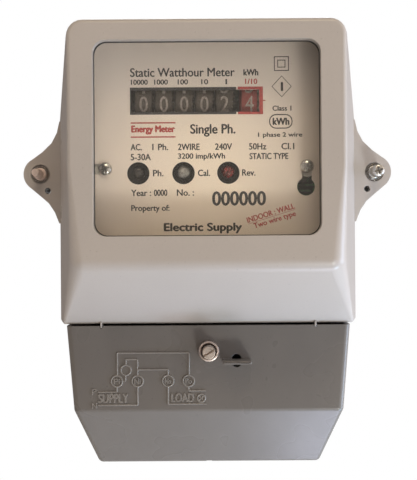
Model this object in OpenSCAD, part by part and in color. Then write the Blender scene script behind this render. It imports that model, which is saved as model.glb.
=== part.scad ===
// Single phase watt-hour meter with a six drum counter behind a window.
// Millimetres. X runs right, Z runs up, the front looks towards -Y.
// The wall is the plane Y = 0. A "depth" is a distance from the wall, so depth d lies at Y = -d.

/* [Case] */
// Half width of the case at its widest
case_half_w = 62.4; // [62:0.1:63]
// Half width of the case at its top corners
case_top_half_w = 59.6; // [59:0.1:60]
// Height of the top of the case over the centre of the wall mount
case_top_z = 91; // [90:0.5:92]
// Height of the split between the dial compartment and the terminal compartment
split_z = -34; // [-34:0.1:-33.8]
// Depth of the base at the dial compartment
base_depth = 28; // [28:0.1:28.5]
// Depth of the base at the terminal compartment
term_base_depth = 20; // [19.5:0.1:20.5]
// Wall thickness of the base
base_wall = 2.5; // [2:0.1:3]
// Thickness of the base's back wall
back_wall = 3; // [2.6:0.1:3]

/* [Main cover] */
// How far the main cover stands in front of the base
cover_rise = 54; // [53.5:0.5:56]
// Wall thickness of the main cover
cover_wall = 2; // [1.6:0.1:2.2]
// Half width of the flat front at its widest
front_half_w = 51.7; // [51.2:0.1:52.4]
// Half width of the flat front at its top
front_top_half_w = 47.7; // [47.4:0.1:48.4]
// Height of the top edge of the flat front
front_top_z = 81.5; // [80:0.1:82]
// Height at which the front turns into the lower slope
slope_start_z = -7; // [-8:0.5:-6.5]
// How far the foot of the lower slope stands in front of the base
slope_foot_rise = 15; // [14:0.5:15.5]

/* [Window] */
// Width of the window opening
window_w = 83.9; // [80:0.1:84.5]
// Height of the window opening
window_h = 72.1; // [70:0.1:72.4]
// Height of the window's centre
window_z = 37.6; // [37:0.1:38]
// Corner radius of the window opening
window_corner_r = 4.8; // [3:0.1:6]
// Thickness of the window glass
glass_t = 2.5; // [2:0.1:3]

/* [Ears] */
// Distance of each ear screw from the middle
ear_x = 69.9; // [69.5:0.1:70.5]
// Height of the ear screws
ear_z = 28; // [27.5:0.1:28.5]
// Tip radius of an ear
ear_r = 7; // [6.5:0.1:7.2]
// Thickness of the main cover's ears
ear_t = 5; // [4.5:0.1:5.5]

/* [Terminal cover] */
// Depth of the terminal cover's flat front
term_front_depth = 44; // [43.8:0.1:45]
// Wall thickness of the terminal cover
term_wall = 2; // [1.6:0.1:2.1]
// Gap between the two covers
cover_gap = 0.7; // [0.5:0.1:0.9]
// Edge radius of the terminal cover
term_edge_r = 2.5; // [2.4:0.1:2.8]
// Width of the moulded sealing tab
tab_w = 11.6; // [9:0.1:12]
// How far the sealing tab stands out
tab_reach = 10; // [8:0.5:11]
// Thickness of the sealing tab
tab_t = 1.2; // [1:0.1:1.6]

/* [Terminals] */
// Distance between neighbouring terminals
terminal_pitch = 22; // [21.8:0.1:22]
// Radius of the cable bore in a terminal
terminal_bore_r = 4; // [3.5:0.1:4]
// Radius of a cable entry in the base
entry_r = 5; // [4.8:0.1:5.2]
// Depth of the cables' centre line
cable_depth = 11; // [10.8:0.1:11]

/* [Wall fixing] */
// Radius of the keyhole's round entry
hang_r = 4.5; // [4.2:0.1:4.8]
// Half width of the keyhole's slot
hang_slot_half_w = 2.4; // [2:0.1:2.5]
// Height of the keyhole's round entry
hang_z = 74; // [73.5:0.5:74.5]
// Distance between the two lower fixing holes
fixing_spacing = 44; // [43:0.5:45]
// Radius of a lower fixing hole
fixing_r = 2.5; // [2:0.1:2.8]

/* [Counter] */
// Radius of a number drum
drum_r = 11.5; // [11.3:0.1:11.5]
// Width of a number drum's rim
drum_w = 6; // [5.8:0.1:6]
// Distance between neighbouring drums
drum_pitch = 7.8; // [7.7:0.1:7.8]
// Radius of the drum shaft
drum_shaft_r = 1.5; // [1.3:0.1:1.5]
// Radius of the transfer pinions' shaft
pinion_shaft_r = 1; // [0.8:0.1:1]
// Running clearance on every shaft, on the radius
running_gap = 0.05; // [0.03:0.01:0.08]

/* [Dial plate] */
// Depth of the dial plate's front
plate_depth = 66; // [65.5:0.1:66.5]
// Thickness of the dial plate
plate_t = 0.8; // [0.6:0.1:1]
// Radius of a lamp hole in the dial plate
lamp_hole_r = 4.3; // [4:0.1:4.5]
// Radius of a lamp
lamp_r = 2.5; // [2.4:0.1:2.5]

/* [Hidden] */

// Small overlap that keeps cuts clean
eps = 0.05;
round_fn = 64;
hull_fn = 32;
$fn = round_fn;

// Case outline
case_corner_r = 4.5;
case_taper_z = 49;
base_inset = 0.8;
seal_t = 0.6;
front_depth = base_depth + cover_rise;
side_draft = (case_half_w - front_half_w) / cover_rise;
front_edge_r = 3.5;
front_corner_r = 6;
front_corner_step = front_corner_r - front_edge_r;
slope_blend_r = 6;
front_taper_z = 27;
foot_edge_r = 1;
// The cover's hull runs on past its back rim, and a plane cuts it off there
rim_overrun = 2;
rim_flare = rim_overrun * side_draft;
clear_w = 80;
clear_z0 = -60;
clear_z1 = 110;

// Window
rim_collar_t = 3.5;
rim_collar_w = 2;
gasket_lip = 0.3;
gasket_t = 0.8;
gasket_depth = front_depth - rim_collar_t;
glass_depth = gasket_depth - gasket_t;
clip_depth = glass_depth - glass_t;
glass_margin = 2;
clip_t = 1;
clip_boss_x = 45.4;
clip_boss_r = 1.1;
clip_boss_zs = [18, 42];

// Ears
ear_inset = 0.8;
ear_boss_depth = 14;
insert_r = 3;
ear_shank_r = 1.7;
ear_hole_r = 2.05;
washer_r = 3.6;
washer_t = 0.8;
washer_recess_r = 3.95;
washer_recess = 1;
seal_hole_r = 1.25;
seal_hole_x = ear_x - 3.1;
seal_hole_z = ear_z - 7;

// Terminal compartment
term_top_half_w = 58.9;
term_mid_half_w = 55.1;
term_mid_z = -68.5;
term_low_half_w = 47.8;
term_low_z = -94.8;
term_low_depth = 22.5;
lower_inset = 0.6;
nib_x = 43.6;
nib_w = 0.7;
lid_screw_x = 0.1;
lid_screw_z = -45;
lid_head_r = 2.6;
lid_shank_r = 1.5;
ferrule_r = 4.2;
tab_x = 11.4;
tab_z = -48.9;
tab_hole_r = 1.75;
trace_w = 0.5;
trace_h = 0.3;

// Terminals
terminal_xs = [for (i = [0:3]) (i - 1.5) * terminal_pitch];
terminal_half_w = 5.5;
terminal_half_d = 6;
terminal_bottom_z = -63.8;
terminal_bore_top_z = -36;
phase_top_z = -12;
neutral_top_z = -24;
clamp_zs = [-42, -56];
clamp_r = 2.2;
clamp_head_r = 3.5;
block_depth = 32;
block_half_w = 45;
block_bottom_z = -67;
block_top_z = split_z - 0.3;
block_slack = 0.15;
block_screw_xs = [-terminal_pitch, terminal_pitch];
block_screw_z = -50;
shunt_t = 1.5;
shunt_z0 = -22;
shunt_z1 = -13;
link_z0 = -30.8;
link_z1 = -25;
shunt_depth = cable_depth + terminal_half_d;
pin_r = 0.8;
pin_spots = [[-8, -17.5], [8, -17.5], [0, -28]];

// Wall fixing
hanger_t = 1.6;
hanger_half_w = 12;
hanger_z0 = 66;
hanger_z1 = 88;
hang_slot_top_z = hang_z + 9;
hang_pocket_depth = 9;
fixing_z = -80;

// Chassis and board
boss_spots = [[-42, 8], [42, 8], [-42, 70], [42, 70]];
chassis_depth = 22;
chassis_t = 2;
board_depth = 33.4;
board_t = 1.6;
board_face = board_depth + board_t;
board_half_w = 46;
board_z0 = -30.5;
board_z1 = 76;
chip_x0 = -22;
chip_w = 18;
chip_z0 = 30;
chip_h = 7.6;
plate_back = plate_depth - plate_t;
plate_half_w = 47;
plate_z0 = -3;
plate_z1 = 78;
left_post = [-39, 27.4];
right_post = [38.2, 28];
post_r = 4;
m3_r = 1.5;
m3_core_r = 1.25;
keyhole_z = 20.2;
keyhole_r = 3.45;
keyhole_neck = 3.7;
slot_x0 = -29;
slot_x1 = 20.1;
slot_z0 = 49;
slot_z1 = 57.5;

// Lamps
lamp_xs = [-26.4, -9.1, 8.1];
lamp_hole_z = 25.7;
lamp_z = 26.3;
lamp_body_depth = 62.3;
holder_depth = 56;
holder_front = 61;
lead_w = 0.5;
lead_gap = 1.27;

// Counter. Angles in the plane of a gear run from +Y towards +Z.
drum_axis_depth = 52.7;
drum_axis_z = 53.25;
tenths_x = 16.4;
units_x = 6.9;
drum_xs = [tenths_x, for (i = [0:4]) units_x - i * drum_pitch];
drum_rim_t = 1.2;
drum_web_t = 1.2;
hub_r = 3;
ring_t = 0.9;
carry_t = 0.8;
carry_r = 8.2;
transfer_angle = 30;
transfer_centres = 13.16;
pinion_axis_depth = drum_axis_depth - transfer_centres * cos(transfer_angle);
pinion_axis_z = drum_axis_z + transfer_centres * sin(transfer_angle);
pinion_gap = 0.15;
drive_centres = 12.5;
drive_angle = -53.13;
idler_depth = drum_axis_depth - drive_centres * cos(drive_angle);
idler_z = drum_axis_z + drive_centres * sin(drive_angle);
motor_centres = 10;
motor_z = idler_z - motor_centres;
motor_r = 9;
motor_len = 8;
motor_shaft_r = 0.75;
idler_axle_r = 1.2;
gear_a_x0 = tenths_x + drum_w / 2;
gear_a_x1 = gear_a_x0 + 1.8;
gear_b_x0 = gear_a_x1 + 0.4;
gear_b_x1 = gear_b_x0 + 1.4;
frame_t = 1.5;
frame_left_x = -29.5;
frame_right_x = 24;
frame_z0 = 23;
frame_z1 = 67.1;
frame_left_z0 = 39.4;

// Gear shapes: teeth, root radius, tip radius, tooth width at root, at mid height and at tip
transfer_gear = [20, 8.3, 10.0, 1.7, 1.35, 0.8];
transfer_small = [8, 2.7, 4.4, 1.6, 1.3, 0.7];
drive_big = [40, 9.3, 10.4, 0.95, 0.7, 0.4];
drive_small = [10, 1.9, 2.95, 0.85, 0.68, 0.4];
idler_big = [32, 7.3, 8.4, 0.95, 0.7, 0.4];
motor_small = [8, 1.4, 2.45, 0.85, 0.66, 0.4];

case_grey = [0.72, 0.69, 0.66];
lid_grey = [0.42, 0.4, 0.37];
base_grey = [0.6, 0.58, 0.56];
black_plastic = [0.1, 0.1, 0.1];
steel = [0.75, 0.75, 0.76];
brass = [0.8, 0.68, 0.4];
cream = [0.86, 0.8, 0.71];
white_plastic = [0.9, 0.9, 0.88];

// ---- Helpers -------------------------------------------------------------

// A box given by its ends in x, in depth and in z
module block(x0, x1, d0, d1, z0, z1) {
    translate([x0, -d1, z0])
        cube([x1 - x0, d1 - d0, z1 - z0]);
}

// A cylinder standing out from the wall between two depths
module out_rod(x, z, d0, d1, r) {
    translate([x, -d0, z])
        rotate([90, 0, 0])
            cylinder(r = r, h = d1 - d0);
}

// A cylinder along x
module cross_rod(x0, x1, depth, z, r) {
    translate([x0, -depth, z])
        rotate([0, 90, 0])
            cylinder(r = r, h = x1 - x0);
}

// A cylinder along z
module up_rod(x, depth, z0, z1, r) {
    translate([x, -depth, z0])
        cylinder(r = r, h = z1 - z0);
}

// A front view outline standing out between two depths
module slab(d0, d1) {
    translate([0, -d0, 0])
        rotate([90, 0, 0])
            linear_extrude(d1 - d0)
                children();
}

// A flat shape with rounded corners, centred on [0, cz]
module round_rect(w, h, r, cz) {
    translate([0, cz]) {
        square([w - 2 * r, h], center = true);
        square([w, h - 2 * r], center = true);
        for (sx = [-1, 1], sz = [-1, 1])
            translate([sx * (w / 2 - r), sz * (h / 2 - r)])
                circle(r);
    }
}

// Points on an arc
function arc(cx, cz, r, a0, a1, n) =
    [for (i = [0:n]) let (a = a0 + (a1 - a0) * i / n) [cx + r * cos(a), cz + r * sin(a)]];

// The other half of a right hand outline, in mirrored order
function mirrored(pts) = [for (i = [len(pts) - 1:-1:0]) [-pts[i][0], pts[i][1]]];

// Right half of the dial compartment's outline, drawn in by t
function case_half(t) = concat(
    [[case_half_w - t, split_z + max(0, t - base_inset)], [case_half_w - t, case_taper_z]],
    arc(case_top_half_w - case_corner_r - max(0, t - 3.5),
        case_top_z - case_corner_r - max(0, t - 3.5), max(case_corner_r - t, 1), 3, 90, 5));

// Right half of the terminal compartment's outline, drawn in by t
function lower_half(t) = concat(
    arc(term_low_half_w - term_edge_r - max(0, t - 2), term_low_z + term_edge_r + max(0, t - 2),
        max(term_edge_r - t, 0.5), -90, -10, 4),
    [[term_mid_half_w - t, term_mid_z], [term_top_half_w - t, split_z]]);

// Right ear's outline, drawn in by t
function ear_half(t) = concat(
    [[58, 50 - t], [61.8 - t, 50 - t], [62.9 - t, 45.2 - t], [65.1 - t, 41 - t]],
    [[69 - t, 37.2 - t]],
    arc(ear_x, ear_z, ear_r - t, 62, -48, 8),
    [[69.6 - t, 18.6 + t], [66.4 - t, 15.8 + t], [63.9 - t, 12 + t], [62.1 - t, 7.4 + t]],
    [[58, 7.4 + t]]);

module case_outline(t) {
    polygon(concat(case_half(t), mirrored(case_half(t))));
}

module lower_outline(t) {
    polygon(concat(lower_half(t), mirrored(lower_half(t))));
}

module ear_pair(t) {
    polygon(ear_half(t));
    mirror([1, 0])
        polygon(ear_half(t));
}

// Teeth as plain polygons. g holds the shape; a tooth is centred on the angle "first".
function gear_points(g, first) =
    [for (i = [0:g[0] - 1], k = [0:5])
        let (mid = (g[1] + g[2]) / 2)
        let (r = [g[1], mid, g[2], g[2], mid, g[1]][k])
        let (w = [-g[3], -g[4], -g[5], g[5], g[4], g[3]][k])
        let (a = first + 360 * i / g[0] + asin(w / 2 / r))
        [r * cos(a), r * sin(a)]];

// A gear lying across x
module gear(x0, x1, depth, z, g, first) {
    translate([x0, -depth, z])
        rotate([90, 0, 90])
            linear_extrude(x1 - x0)
                polygon(gear_points(g, first));
}

// ---- Base ----------------------------------------------------------------

module base_housing() {
    color(base_grey)
        difference() {
            union() {
                slab(0, base_depth - seal_t)
                    case_outline(base_inset);
                slab(0, term_base_depth)
                    lower_outline(lower_inset);
                slab(ear_boss_depth, base_depth - seal_t)
                    ear_pair(ear_inset);
            }
            base_upper_hollow();
            slab(back_wall, term_base_depth + eps)
                intersection() {
                    lower_outline(lower_inset + base_wall);
                    translate([-case_half_w, term_low_z])
                        square([2 * case_half_w, split_z - term_low_z]);
                }
            // Slots through which the terminals reach the dial compartment
            for (x = terminal_xs)
                block(x - terminal_half_w - block_slack, x + terminal_half_w + block_slack,
                    cable_depth - terminal_half_d - block_slack,
                    cable_depth + terminal_half_d + block_slack, split_z - eps, split_z + 4);
            for (x = terminal_xs)
                up_rod(x, cable_depth, term_low_z - eps, term_low_z + 4, entry_r);
            // Keyhole plate's seat and the pocket for the screw head behind it
            block(-hanger_half_w, hanger_half_w, -eps, hanger_t, hanger_z0, hanger_z1);
            block(-6, 6, hanger_t - eps, hang_pocket_depth, hanger_z0 + 2, hanger_z1 - 2);
            for (sx = [-1, 1]) {
                out_rod(sx * fixing_spacing / 2, fixing_z, -eps, back_wall + eps, fixing_r);
                out_rod(sx * ear_x, ear_z, ear_boss_depth + 1, base_depth, insert_r);
                out_rod(sx * seal_hole_x, seal_hole_z, ear_boss_depth - eps, base_depth,
                    seal_hole_r);
            }
            for (x = block_screw_xs)
                out_rod(x, block_screw_z, 0.8, back_wall + eps, m3_r);
            for (p = boss_spots)
                out_rod(p[0], p[1], 10, chassis_depth + eps, m3_core_r);
        }
}

// The hollow of the dial compartment, less the pillars that stand in it
module base_upper_hollow() {
    difference() {
        slab(back_wall, base_depth)
            case_outline(base_inset + base_wall);
        for (p = boss_spots)
            out_rod(p[0], p[1], 0, chassis_depth, 4);
        block(-7.5, 7.5, 0, hang_pocket_depth + 1.5, hanger_z0 + 0.5, hanger_z1 - 0.5);
    }
}

module hanger_plate() {
    color(steel)
        difference() {
            block(-hanger_half_w, hanger_half_w, 0, hanger_t, hanger_z0, hanger_z1);
            out_rod(0, hang_z, -eps, hanger_t + eps, hang_r);
            out_rod(0, hang_slot_top_z, -eps, hanger_t + eps, hang_slot_half_w);
            block(-hang_slot_half_w, hang_slot_half_w, -eps, hanger_t + eps,
                hang_z, hang_slot_top_z);
        }
}

module ear_inserts() {
    color(brass)
        for (sx = [-1, 1])
            difference() {
                out_rod(sx * ear_x, ear_z, ear_boss_depth + 1, base_depth - seal_t - 0.4,
                    insert_r);
                out_rod(sx * ear_x, ear_z, ear_boss_depth + 0.9, base_depth,
                    ear_shank_r + running_gap);
            }
}

module cover_gasket() {
    color(black_plastic)
        difference() {
            slab(base_depth - seal_t, base_depth)
                case_outline(0.9);
            slab(base_depth - seal_t - eps, base_depth + eps)
                case_outline(2.4);
        }
}

// ---- Terminals -----------------------------------------------------------

module terminal_block() {
    color(black_plastic)
        difference() {
            union() {
                block(-block_half_w, block_half_w, back_wall, block_depth,
                    block_bottom_z, block_top_z);
                for (x = [-terminal_pitch, 0, terminal_pitch])
                    block(x - 1, x + 1, block_depth - eps, block_depth + 4,
                        block_bottom_z, block_bottom_z + 14);
            }
            for (x = terminal_xs) {
                block(x - terminal_half_w - block_slack, x + terminal_half_w + block_slack,
                    cable_depth - terminal_half_d - block_slack,
                    cable_depth + terminal_half_d + block_slack,
                    terminal_bottom_z - 0.2, split_z);
                up_rod(x, cable_depth, block_bottom_z - eps, terminal_bottom_z,
                    terminal_bore_r + 0.6);
                for (z = clamp_zs)
                    out_rod(x, z, shunt_depth, block_depth + eps, clamp_head_r + 0.4);
            }
            for (x = block_screw_xs) {
                out_rod(x, block_screw_z, back_wall - eps, 12, m3_r + 0.1);
                out_rod(x, block_screw_z, 12, block_depth + eps, 3.2);
            }
            out_rod(lid_screw_x, lid_screw_z, 22, block_depth + eps, insert_r);
        }
}

module block_screws() {
    color(steel)
        for (x = block_screw_xs)
            difference() {
                union() {
                    out_rod(x, block_screw_z, 1, 12, m3_r - 0.02);
                    out_rod(x, block_screw_z, 12, 14.2, 2.8);
                }
                block(x - 3, x + 3, 13.2, 15, block_screw_z - 0.4, block_screw_z + 0.4);
            }
}

module screw_insert() {
    color(brass)
        difference() {
            out_rod(lid_screw_x, lid_screw_z, 22, block_depth, insert_r);
            out_rod(lid_screw_x, lid_screw_z, 21.9, block_depth + eps,
                lid_shank_r + running_gap);
        }
}

// One brass terminal with its cable bore and the two holes of its clamp screws
module terminal(x, top_z) {
    color(brass)
        difference() {
            block(x - terminal_half_w, x + terminal_half_w, cable_depth - terminal_half_d,
                cable_depth + terminal_half_d, terminal_bottom_z, top_z);
            up_rod(x, cable_depth, terminal_bottom_z - eps, terminal_bore_top_z,
                terminal_bore_r);
            for (z = clamp_zs)
                out_rod(x, z, cable_depth, shunt_depth + eps, clamp_r);
        }
}

module terminal_phase_in() {
    terminal(terminal_xs[0], phase_top_z);
}

module terminal_neutral_in() {
    terminal(terminal_xs[1], neutral_top_z);
}

module terminal_neutral_out() {
    terminal(terminal_xs[2], neutral_top_z);
}

module terminal_phase_out() {
    terminal(terminal_xs[3], phase_top_z);
}

module terminal_screws() {
    color(steel)
        for (x = terminal_xs, z = clamp_zs)
            difference() {
                union() {
                    out_rod(x, z, cable_depth + terminal_bore_r + 0.1, 20, clamp_r - 0.02);
                    out_rod(x, z, 20, 24, clamp_head_r);
                }
                block(x - 4, x + 4, 22.6, 25, z - 0.5, z + 0.5);
            }
}

module current_shunt() {
    color(brass)
        difference() {
            block(terminal_xs[0] - 5, terminal_xs[3] + 5, shunt_depth, shunt_depth + shunt_t,
                shunt_z0, shunt_z1);
            // Waist of the resistance strip
            block(-5, 5, shunt_depth - eps, shunt_depth + shunt_t + eps,
                shunt_z1 - 2.5, shunt_z1 + eps);
            for (p = [pin_spots[0], pin_spots[1]])
                out_rod(p[0], p[1], shunt_depth - eps, shunt_depth + shunt_t + eps, pin_r);
        }
}

module neutral_link() {
    color(brass)
        difference() {
            block(terminal_xs[1] - 5, terminal_xs[2] + 5, shunt_depth, shunt_depth + shunt_t,
                link_z0, link_z1);
            out_rod(pin_spots[2][0], pin_spots[2][1], shunt_depth - eps,
                shunt_depth + shunt_t + eps, pin_r);
        }
}

module sense_pins() {
    color(steel)
        for (p = pin_spots)
            out_rod(p[0], p[1], shunt_depth, board_face + 1.2, pin_r);
}

// ---- Chassis and board ---------------------------------------------------

module inner_chassis() {
    color(white_plastic)
        difference() {
            union() {
                difference() {
                    block(-46, 46, chassis_depth, chassis_depth + chassis_t, 2, 76);
                    for (sx = [-1, 1])
                        block(sx * 18.5 - 14.5, sx * 18.5 + 14.5, chassis_depth - eps,
                            chassis_depth + chassis_t + eps, 14, 64);
                }
                for (p = boss_spots)
                    out_rod(p[0], p[1], chassis_depth, board_depth, 3.2);
                for (p = [left_post, right_post])
                    out_rod(p[0], p[1], chassis_depth, plate_back, post_r);
            }
            for (p = boss_spots)
                out_rod(p[0], p[1], chassis_depth - eps, board_depth + eps, m3_r + 0.1);
            for (p = [left_post, right_post])
                out_rod(p[0], p[1], plate_back - 11, plate_back + eps, m3_core_r);
        }
}

module chassis_screws() {
    color(steel)
        for (p = boss_spots)
            difference() {
                union() {
                    out_rod(p[0], p[1], 12, board_face, m3_core_r - 0.02);
                    out_rod(p[0], p[1], board_face, board_face + 2, 2.8);
                }
                block(p[0] - 3, p[0] + 3, board_face + 1, board_face + 3,
                    p[1] - 0.4, p[1] + 0.4);
            }
}

module circuit_board() {
    color([0.1, 0.35, 0.2])
        difference() {
            block(-board_half_w, board_half_w, board_depth, board_face, board_z0, board_z1);
            for (p = boss_spots)
                out_rod(p[0], p[1], board_depth - eps, board_face + eps, m3_r + 0.1);
            for (p = [left_post, right_post])
                out_rod(p[0], p[1], board_depth - eps, board_face + eps, post_r + 0.4);
            for (p = pin_spots)
                out_rod(p[0], p[1], board_depth - eps, board_face + eps, pin_r + 0.1);
            for (p = frame_pegs)
                out_rod(p[0], p[1], board_depth - eps, board_face + eps, 1.3);
        }
}

module metering_chip() {
    color(black_plastic) {
        block(chip_x0, chip_x0 + chip_w, board_face + 0.2, board_face + 2.3,
            chip_z0, chip_z0 + chip_h);
        for (i = [0:9], side = [0, 1]) {
            x = chip_x0 + 1.4 + i * 1.7;
            z = side == 0 ? chip_z0 - 1.4 : chip_z0 + chip_h;
            block(x - 0.25, x + 0.25, board_face, board_face + 1.2, z, z + 1.4);
        }
    }
}

module film_capacitor() {
    color([0.75, 0.6, 0.2]) {
        block(-36, -10, board_face + 0.5, board_face + 17, -8, 8);
        for (x = [-34, -12])
            block(x - 0.4, x + 0.4, board_face, board_face + 0.6, -0.4, 0.4);
    }
}

module electrolytic_capacitors() {
    color([0.15, 0.2, 0.4])
        for (x = [4, 17]) {
            out_rod(x, 2, board_face, board_face + 15.4, 5);
            out_rod(x, 2, board_face + 15.3, board_face + 16, 4.4);
        }
}

module surge_varistor() {
    color([0.15, 0.3, 0.6]) {
        cross_rod(29, 33.5, board_face + 8.5, 2, 7);
        for (z = [-1.5, 5.5])
            block(31, 31.8, board_face, board_face + 4, z - 0.4, z + 0.4);
    }
}

module lamp_holder() {
    color(black_plastic)
        difference() {
            union() {
                block(-31, 13, holder_depth, holder_front, 21.5, 31);
                for (x = [-31, 11.5])
                    block(x, x + 1.5, board_face, holder_depth + eps, 24, 28.5);
            }
            for (x = lamp_xs)
                out_rod(x, lamp_z, holder_depth - eps, holder_front + eps, lamp_r + 0.1);
        }
}

// One round lamp: flange, body, dome and two leads down to the board
module lamp(x) {
    out_rod(x, lamp_z, holder_depth - 1, holder_depth, lamp_r + 0.4);
    out_rod(x, lamp_z, holder_depth - 0.1, lamp_body_depth, lamp_r);
    translate([x, -lamp_body_depth, lamp_z])
        sphere(lamp_r);
    for (sx = [-1, 1])
        block(x + sx * lead_gap - lead_w / 2, x + sx * lead_gap + lead_w / 2,
            board_face, holder_depth - 0.9, lamp_z - lead_w / 2, lamp_z + lead_w / 2);
}

module phase_lamp() {
    color([0.5, 0.1, 0.1])
        lamp(lamp_xs[0]);
}

module calibration_lamp() {
    color([0.85, 0.8, 0.78])
        lamp(lamp_xs[1]);
}

module reverse_lamp() {
    color([0.8, 0.1, 0.1])
        lamp(lamp_xs[2]);
}

module dial_plate() {
    color(cream)
        difference() {
            block(-plate_half_w, plate_half_w, plate_back, plate_depth, plate_z0, plate_z1);
            block(slot_x0, slot_x1, plate_back - eps, plate_depth + eps, slot_z0, slot_z1);
            for (x = lamp_xs)
                out_rod(x, lamp_hole_z, plate_back - eps, plate_depth + eps, lamp_hole_r);
            // The left screw's slot is open to the plate's edge
            block(-plate_half_w - eps, left_post[0], plate_back - eps, plate_depth + eps,
                left_post[1] - 1.9, left_post[1] + 1.9);
            out_rod(left_post[0], left_post[1], plate_back - eps, plate_depth + eps, 1.9);
            // The right screw stands in the neck of a keyhole
            out_rod(right_post[0], right_post[1], plate_back - eps, plate_depth + eps,
                keyhole_neck / 2);
            block(right_post[0] - keyhole_neck / 2, right_post[0] + keyhole_neck / 2,
                plate_back - eps, plate_depth + eps, keyhole_z, right_post[1]);
            out_rod(right_post[0] - 0.4, keyhole_z, plate_back - eps, plate_depth + eps,
                keyhole_r);
        }
}

module dial_plate_screws() {
    color(steel)
        for (p = [left_post, right_post])
            difference() {
                union() {
                    out_rod(p[0], p[1], plate_back - 9, plate_depth, m3_core_r - 0.02);
                    out_rod(p[0], p[1], plate_depth, plate_depth + 1.2, 2.65);
                    out_rod(p[0], p[1], plate_depth + 1.1, plate_depth + 1.8, 2.2);
                }
                block(p[0] - 1.6, p[0] + 1.6, plate_depth + 0.9, plate_depth + 2,
                    p[1] - 0.35, p[1] + 0.35);
                block(p[0] - 0.35, p[0] + 0.35, plate_depth + 0.9, plate_depth + 2,
                    p[1] - 1.6, p[1] + 1.6);
            }
}

// ---- Counter -------------------------------------------------------------

frame_pegs = [[frame_left_x - frame_t / 2, 44], [frame_left_x - frame_t / 2, 63],
    [frame_right_x + frame_t / 2, 30], [frame_right_x + frame_t / 2, 63]];

module register_frame() {
    color(black_plastic)
        difference() {
            union() {
                block(frame_left_x - frame_t, frame_left_x, board_face, plate_back,
                    frame_left_z0, frame_z1);
                block(frame_right_x, frame_right_x + frame_t, board_face, plate_back,
                    frame_z0, frame_z1);
                block(frame_left_x - eps, frame_right_x + eps, board_face + 1.5, plate_back,
                    frame_z1 - frame_t, frame_z1);
                block(frame_left_x - eps, frame_right_x + eps, 58, plate_back,
                    frame_left_z0, frame_left_z0 + 1.6);
                block(frame_left_x - eps, 18, board_face, board_face + 2, 40, 46);
                for (p = frame_pegs)
                    out_rod(p[0], p[1], board_depth - 0.8, board_face + eps, 1.2);
            }
            cross_rod(frame_left_x - 2, frame_right_x + 2, drum_axis_depth, drum_axis_z,
                drum_shaft_r);
            cross_rod(frame_left_x - 2, frame_right_x + 2, pinion_axis_depth, pinion_axis_z,
                pinion_shaft_r);
            cross_rod(frame_right_x - 1, frame_right_x + 2, idler_depth, idler_z,
                idler_axle_r);
            cross_rod(frame_right_x - 1, frame_right_x + 2, idler_depth, motor_z,
                motor_shaft_r + 0.4);
        }
}

module drum_shaft() {
    color(steel) {
        cross_rod(frame_left_x - frame_t, frame_right_x + frame_t + 0.8, drum_axis_depth,
            drum_axis_z, drum_shaft_r);
        cross_rod(frame_left_x - frame_t - 0.8, frame_left_x - frame_t, drum_axis_depth,
            drum_axis_z, 2.3);
    }
}

module pinion_shaft() {
    color(steel) {
        cross_rod(frame_left_x - frame_t, frame_right_x + frame_t + 0.8, pinion_axis_depth,
            pinion_axis_z, pinion_shaft_r);
        cross_rod(frame_left_x - frame_t - 0.8, frame_left_x - frame_t, pinion_axis_depth,
            pinion_axis_z, 1.7);
    }
}

module idler_axle() {
    color(steel)
        cross_rod(gear_a_x0 + 0.1, frame_right_x + frame_t, idler_depth, idler_z,
            idler_axle_r);
}

module stepper_motor() {
    color(steel)
        difference() {
            union() {
                cross_rod(frame_right_x + frame_t, frame_right_x + frame_t + motor_len,
                    idler_depth, motor_z, motor_r);
                cross_rod(frame_right_x + frame_t + motor_len - eps,
                    frame_right_x + frame_t + motor_len + 0.8, idler_depth, motor_z, 3);
            }
            cross_rod(frame_right_x + frame_t - eps, frame_right_x + frame_t + 4,
                idler_depth, motor_z, motor_shaft_r + running_gap);
        }
}

// A number drum. index 0 is the tenths drum, which has no gear ring of its own.
module drum(index) {
    x = drum_xs[index];
    left = x - drum_w / 2;
    right = x + drum_w / 2;
    lower_gap = index == 1 ? drum_xs[0] - drum_xs[1] - drum_w : drum_pitch - drum_w;
    difference() {
        union() {
            difference() {
                cross_rod(left, right, drum_axis_depth, drum_axis_z, drum_r);
                cross_rod(left - eps, right - drum_web_t, drum_axis_depth, drum_axis_z,
                    drum_r - drum_rim_t);
            }
            cross_rod(left - carry_t, right - drum_web_t + eps, drum_axis_depth, drum_axis_z,
                hub_r);
            carry_disc(left);
            if (index > 0) {
                gear(right - eps, right + ring_t, drum_axis_depth, drum_axis_z, transfer_gear,
                    180 / transfer_gear[0] + transfer_angle);
                // Hub out to the next drum
                cross_rod(right, right + lower_gap - carry_t - 0.1, drum_axis_depth,
                    drum_axis_z, hub_r);
            }
        }
        cross_rod(left - 2, right + lower_gap + 1, drum_axis_depth, drum_axis_z,
            drum_shaft_r + running_gap);
    }
}

// The disc that carries to the next higher drum, with its one notch
module carry_disc(left) {
    difference() {
        cross_rod(left - carry_t, left + 0.4, drum_axis_depth, drum_axis_z, carry_r);
        translate([left - carry_t - eps, -drum_axis_depth, drum_axis_z])
            rotate([90, 0, 90])
                linear_extrude(carry_t + 1)
                    rotate(transfer_angle + 18)
                        translate([carry_r - 1.2, -1])
                            square([2, 2]);
    }
}

module drum_tenths() {
    color([0.6, 0.2, 0.18])
        drum(0);
}

module drum_units() {
    color(black_plastic)
        drum(1);
}

module drum_tens() {
    color(black_plastic)
        drum(2);
}

module drum_hundreds() {
    color(black_plastic)
        drum(3);
}

module drum_thousands() {
    color(black_plastic)
        drum(4);
}

module drum_ten_thousands() {
    color(black_plastic)
        drum(5);
}

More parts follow.
